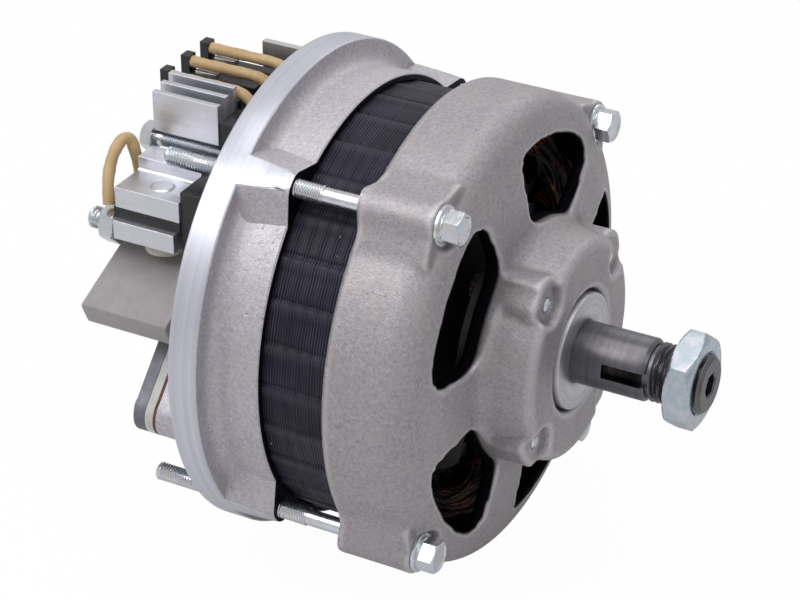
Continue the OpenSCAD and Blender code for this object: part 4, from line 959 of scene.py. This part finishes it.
def plain_washers():
    """Washers under the heads: a closed section with rounded rims, carried round each bolt."""
    rim = [(0.0, 2.65), (0.0, 5.2), (0.15, 5.38), (0.85, 5.38), (1.0, 5.2), (1.0, 2.65)]
    section = [(BOLT_SEAT_X + x, r) for x, r in rim]
    return joined([turned_ring(section, 48, (y, z)) for y, z, _ in bolt_places()])


zinc_build("head_washers", plain_washers(), "bolt_washers")


def retainer_ends():
    """Screws of the bearing retainer: thread ends that show in the hub's scallops, and heads inside."""
    rod = [(61.3, 61.9, 2.8, 3.4, 0, 0), (61.9, 63.5, 3.4, 3.4, 0, 0), (63.5, 81.4, 1.98, 1.98, 0.7, 0.25),
           (81.4, 82.3, 1.98, 1.98, 0, 0), (82.3, 82.8, 1.98, 1.2, 0, 0)]
    return joined([threaded_rod(rod, (y, z), 20) for y, z, _ in bolt_places(RETAINER_CIRCLE)])


zinc_build("retainer_screw_set", retainer_ends(), "retainer_screws")


def sink_screw():
    """Long screw beside the fins: hexagon head at the rear, thread to the end wall."""
    at = (-25.0, 46.8)
    rod = threaded_rod([(-28.2, -26.0, 2.0, 2.0, 0, 0), (-26.0, 3.4, 2.0, 2.0, 0.7, 0.36)], at, 20)
    return joined([rod, hex_prism(-28.0, -31.6, 7.0, 10, at, dish=0.3)])


zinc_build("long_sink_screw", sink_screw(), "heat_sink_screws")


def output_bolt():
    """Output stud: its thread stands out behind the nut."""
    return threaded_rod([(-37.0, -36.3, 2.3, 3.0, 0, 0), (-36.3, -32.0, 3.0, 3.0, 1.0, 0.5),
                         (-32.0, -26.5, 2.8, 2.8, 0, 0), (-26.5, -21.5, 1.8, 1.8, 0, 0)], OUTPUT_STUD, 28)


zinc_build("output_stud_thread", output_bolt(), "output_stud")
zinc_build("output_nut_hex", hex_nut(-32.0, -27.5, 10.0, 2.83, 1.0, 18, OUTPUT_STUD, 96), "output_nut")


# Rotor

def shaft_grid():
    """Turned shaft: rows of x and r, a keyway cut down to a flat, a thread, and a hexagon socket.

    Columns stand close together at the keyway's two edges. Between them the radius is the flat's depth over
    the cosine of the angle from its middle.
    """
    key_half, key_floor, key_clock = 2.0, 6.1, math.radians(174)
    key_x0, key_x1 = 94.35, 106.7
    edge = math.asin(key_half / SHAFT_R)
    close = [side * (edge + step) for side in (-1, 1) for step in (-0.004, 0.004)]
    theta = np.sort(np.mod(np.sort(np.concatenate([angles(120), close])), TAU) + key_clock)
    local = np.angle(np.exp(1j * (theta - key_clock)))
    rows = [(-21.6, 0), (-21.6, 5.6), (-21.2, 6.0), (-9.6, 6.0), (-9.2, 7.5), (2.0, 7.5), (2.0, 9.5),
            (53.95, 9.5), (53.95, 11.0), (66.0, 11.0), (66.0, SHAFT_R), (94.3, SHAFT_R), (94.4, SHAFT_R),
            (96.0, SHAFT_R), (104.9, SHAFT_R), (105.1, 8.45), (106.0, 7.7), (106.05, 7.1), (106.6, 7.1),
            (107.1, 7.1), (107.2, 7.1)]
    x, r = (list(v) for v in zip(*rows))
    thread_x0, thread_x1, thread_depth = 107.3, 120.4, 0.85
    turns = np.linspace(thread_x0, thread_x1, int((thread_x1 - thread_x0) / NUT_PITCH * 8))
    fade = np.clip(np.minimum((turns - thread_x0) / 0.8, (thread_x1 - turns) / 0.5), 0, 1)
    x += list(turns) + [120.6, SHAFT_X1, SHAFT_X1]
    r += [8.0] * len(turns) + [7.95, 7.0, 4.6]
    depth = np.concatenate([np.zeros(len(rows)), thread_depth * fade, np.zeros(3)])[:, None]
    x, r = np.array(x)[:, None], np.array(r)[:, None]
    radius = r - depth * thread_dip(x, theta[None, :], NUT_PITCH)
    in_key = (x > key_x0) & (x < key_x1) & (np.abs(local)[None, :] < edge)
    floor = key_floor / np.cos(local)[None, :]
    radius = np.where(in_key, np.minimum(radius, floor), radius)
    socket = hexagon_r(theta, 5.9, 0)
    socket_x = np.array([SHAFT_X1, SHAFT_X1 - 0.4, 113.5, 112.6])[:, None]
    socket_r = np.stack([socket + 0.35, socket, socket, np.zeros(len(theta))])
    grid = np.concatenate([about(x, radius, theta[None, :]), about(socket_x, socket_r, theta[None, :])])
    return skin(grid)


build("ground_shaft_piece", *shaft_grid(), "rotor", "shaft_steel", SHAFT, ("rotor_shaft",), 30)
build("shaft_nut_piece", *hex_nut(NUT_X1 - NUT_T, NUT_X1, NUT_AF, 8.03, NUT_PITCH, 20), "rotor", "zinc",
      NUT_ZINC, ("shaft_nut",), 30)
COLLAR_SECTION = [(80.0, 8.53), (80.0, 12.9), (80.8, 15.6), (81.0, 15.9), (85.15, 15.9), (85.55, 15.75),
                  (85.8, 15.3), (85.8, 9.3), (85.5, 8.55)]
build("collar_piece", *turned_ring(COLLAR_SECTION, 160), "rotor", "shaft_steel", COLLAR,
      ("spacer_collar",), 30)
softened("front_claw_pole", "rotor", IRON, 0.5)
softened("rear_claw_pole", "rotor", IRON, 0.5)


# Rectifier, leads, capacitor and regulator

for node, slot_name, material, bevel in (
        ("positive_heat_sink", "sink_aluminium", SINK, 0.18),
        ("negative_heat_sink", "sink_aluminium", SINK, 0.2),
        ("positive_bar", "sink_aluminium", SINK, 0.2), ("cooling_plate", "sink_aluminium", PLATE, 0.2),
        ("rectifier_insulator", "black_plastic", BLACK, 0.2),
        ("terminal_carrier", "black_plastic", BLACK, 0.3),
        ("phase_terminals", "tinned_terminal", TINNED, 0.15),
        ("rectifier_rivet", "sink_aluminium", SINK, 0.2),
        ("insulating_bush", "cream_plastic", CREAM, 0.5), ("output_washer", "zinc", ZINC, 0.1),
        ("suppression_capacitor", "capacitor_case", CAPACITOR, 0.5),
        ("capacitor_bracket", "zinc", ZINC, 0.2),
        ("capacitor_screw", "zinc", ZINC, 0.15), ("regulator_cover", "regulator_cover", COVER, 0.4),
        ("regulator_gasket", "gasket", GASKET, 0.1), ("brush_holder", "white_plastic", WHITE, 0.25),
        ("regulator_screws", "zinc", ZINC, 0.15), ("positive_diodes", "diode", DIODE, 0.2),
        ("negative_diodes", "diode", DIODE, 0.2), ("exciter_diodes", "diode", DIODE, 0.12)):
    softened(node, "stator_frame", material, bevel)


def sleeves(routes, radius, side, name, node):
    """Sleeved leads: round tubes along smooth routes, a little uneven, flared at the cut end, mapped along.

    The map's first number is the share of the turn and its second is the length so far in millimetres.
    """
    parts, maps = [], []
    for k, route in enumerate(routes):
        path = catmull(route, 8)
        reach = np.concatenate([[0], np.cumsum(np.linalg.norm(np.diff(path, axis=0), axis=1))])
        rows, sides = len(path), 20
        uneven = radius * (1 + 0.04 * np.sin(reach * 0.9 + k) + 0.02 * np.sin(reach * 2.3 + 2 * k))
        uneven[-1] *= 1.07
        parts.append(capped(sweep(path, uneven, side, sides)))
        around = np.broadcast_to(np.arange(sides) / sides, (rows + 2, sides))
        length = np.broadcast_to(np.concatenate([[0], reach, [reach[-1]]])[:, None], (rows + 2, sides))
        maps.append(np.stack([around.ravel(), length.ravel()], -1))
    points, quads = joined(parts)
    mesh = quad_mesh(name, points, quads)
    uv = mesh.uv_layers.new(name="along")
    coords = np.concatenate(maps)[quads]
    turn = coords[:, :, 0]
    over_seam = np.ptp(turn, axis=1)[:, None] > 0.5
    coords[:, :, 0] += over_seam & (turn < 0.5)
    uv.data.foreach_set("uv", coords.astype(np.float32).ravel())
    tidy_mesh(mesh)
    return place(mesh, name, "stator_frame", SLEEVE, (node,), 60)


LEAD_Y = (-15.2, -5.0, 4.6)
LEAD_ROUTE = [(4, 52.6), (0, 52.6), (-3, 54.6), (-5.4, 58.6), (-9, 60.2), (-15, 60.3), (-22, 60.3),
              (-29.2, 60.3)]
sleeves([[(x, y, z) for x, z in LEAD_ROUTE] for y in LEAD_Y], 1.5, (1, 0.05, 0.02), "phase_lead_sleeves",
        "phase_leads")
FIELD_ROUTE = [(-29.8, -46.4, 36.3), (-31, -44.6, 41.5), (-31.8, -42.1, 45), (-31.7, -39.6, 48.5),
               (-30.9, -36.8, 50.8), (-29.9, -34.9, 50), (-29, -34.6, 47.0), (-28.2, -33.8, 41)]
sleeves([FIELD_ROUTE], 1.6, (0, 0, 1), "field_lead_sleeve", "field_lead")


# Pieces that keep the solid's own mesh

KEPT = [("bearing_retainer_plate", PRESSED), ("field_coil", COIL), ("coil_bobbin", CREAM),
        ("slip_ring_hub", BLACK), ("slip_rings", COPPER)]
for end in ("front", "rear"):
    KEPT += [("brush_spring_" + end, SPRING), ("carbon_brush_" + end, CARBON)]
    KEPT += [(end + "_bearing_" + part, material) for part, material in (
        ("outer_race", BEARING), ("inner_race", BEARING), ("balls", BEARING), ("cage", CAGE),
        ("shields", PRESSED))]
for node, material in KEPT:
    slots = nodes[node].data.materials
    slots.clear()
    slots.append(material)


# Stage: floor, world, lamps and camera

def background_share(net, glossy):
    """How much of the white background a ray sees: all for camera and transmission, a share for glossy."""
    path = net.add("LightPath").outputs
    seen = net.math("MAXIMUM", path["Is Camera Ray"], net.times(path["Is Glossy Ray"], glossy))
    return net.math("MAXIMUM", seen, path["Is Transmission Ray"])


def add_floor():
    """Large pale sheet just under the object that reads as white and keeps a faint shadow, in metres."""
    mesh = bpy.data.meshes.new("floor")
    half, z = 6.0, -0.0683
    glossy_share, white_share = 0.12, 0.96
    corners = [(-half, -half, z), (half, -half, z), (half, half, z), (-half, half, z)]
    mesh.from_pydata(corners, [], [(0, 1, 2, 3)])
    floor = new_object("floor", mesh)
    material = bpy.data.materials.new("pale_floor")
    net = empty_net(material)
    paper = net.add("BsdfDiffuse", None, Color=rgb(0.86, 0.86, 0.86)).outputs[0]
    white = net.add("Emission", None, Color=rgb(1, 1, 1), Strength=1.012).outputs[0]
    share = net.times(background_share(net, glossy_share), white_share)
    mixed = net.add("MixShader", None, i0=share, i1=paper, i2=white).outputs[0]
    net.add("OutputMaterial", None, i0=mixed)
    floor.data.materials.append(material)


def add_world():
    """White to the camera, half white in reflections, and a plain level of soft light otherwise."""
    soft_level, glossy_share = 0.26, 0.50
    world = bpy.data.worlds.new("studio")
    net = empty_net(world)
    soft = net.add("Background", None, Color=rgb(0.97, 0.97, 1.0), Strength=soft_level).outputs[0]
    white = net.add("Background", None, Color=rgb(1, 1, 1), Strength=1.0).outputs[0]
    mixed = net.add("MixShader", None, i0=background_share(net, glossy_share), i1=soft, i2=white).outputs[0]
    net.add("OutputWorld", None, i0=mixed)
    bpy.context.scene.world = world


def add_lamp(name, place_m, look_m, size, watts, color):
    """Soft square lamp that faces a point, in metres and watts."""
    lamp = bpy.data.lights.new(name, "AREA")
    lamp.shape = "SQUARE"
    lamp.size = size
    lamp.energy = watts
    lamp.color = color
    holder = new_object(name, lamp)
    holder.location = place_m
    holder.rotation_mode = "QUATERNION"
    holder.rotation_quaternion = (Vector(look_m) - Vector(place_m)).to_track_quat("-Z", "Y")


def add_camera():
    """The photograph's view: a long lens beside the drive end and above it."""
    data = bpy.data.cameras.new("view")
    data.lens = 119.3
    data.sensor_width = 36.0
    data.clip_start, data.clip_end = 0.01, 20.0
    camera = new_object("view", data)
    camera.location = (0.3242, -0.5459, 0.3613)
    camera.rotation_euler = (math.radians(59.79), 0.0, math.radians(28.24))
    bpy.context.scene.camera = camera


# Name, place, point faced, side's length, watts and colour of each lamp
LAMPS = (("key", (-0.35, -0.55, 0.75), (0.03, 0, 0), 0.5, 3.5, (1.0, 0.985, 1.0)),
         ("fill", (0.75, -0.30, 0.75), (0.06, 0, 0), 0.5, 1.35, (0.98, 0.975, 1.0)),
         ("rim", (0.0, 0.75, 0.6), (0.03, 0, 0.02), 0.6, 1.2, (1, 1, 1)),
         ("top", (-0.05, -0.05, 0.95), (0.03, 0, 0), 0.6, 2.2, (1, 1, 1)))
add_floor()
add_world()
for lamp in LAMPS:
    add_lamp(*lamp)
add_camera()

bpy.context.scene.view_settings.view_transform = "Standard"
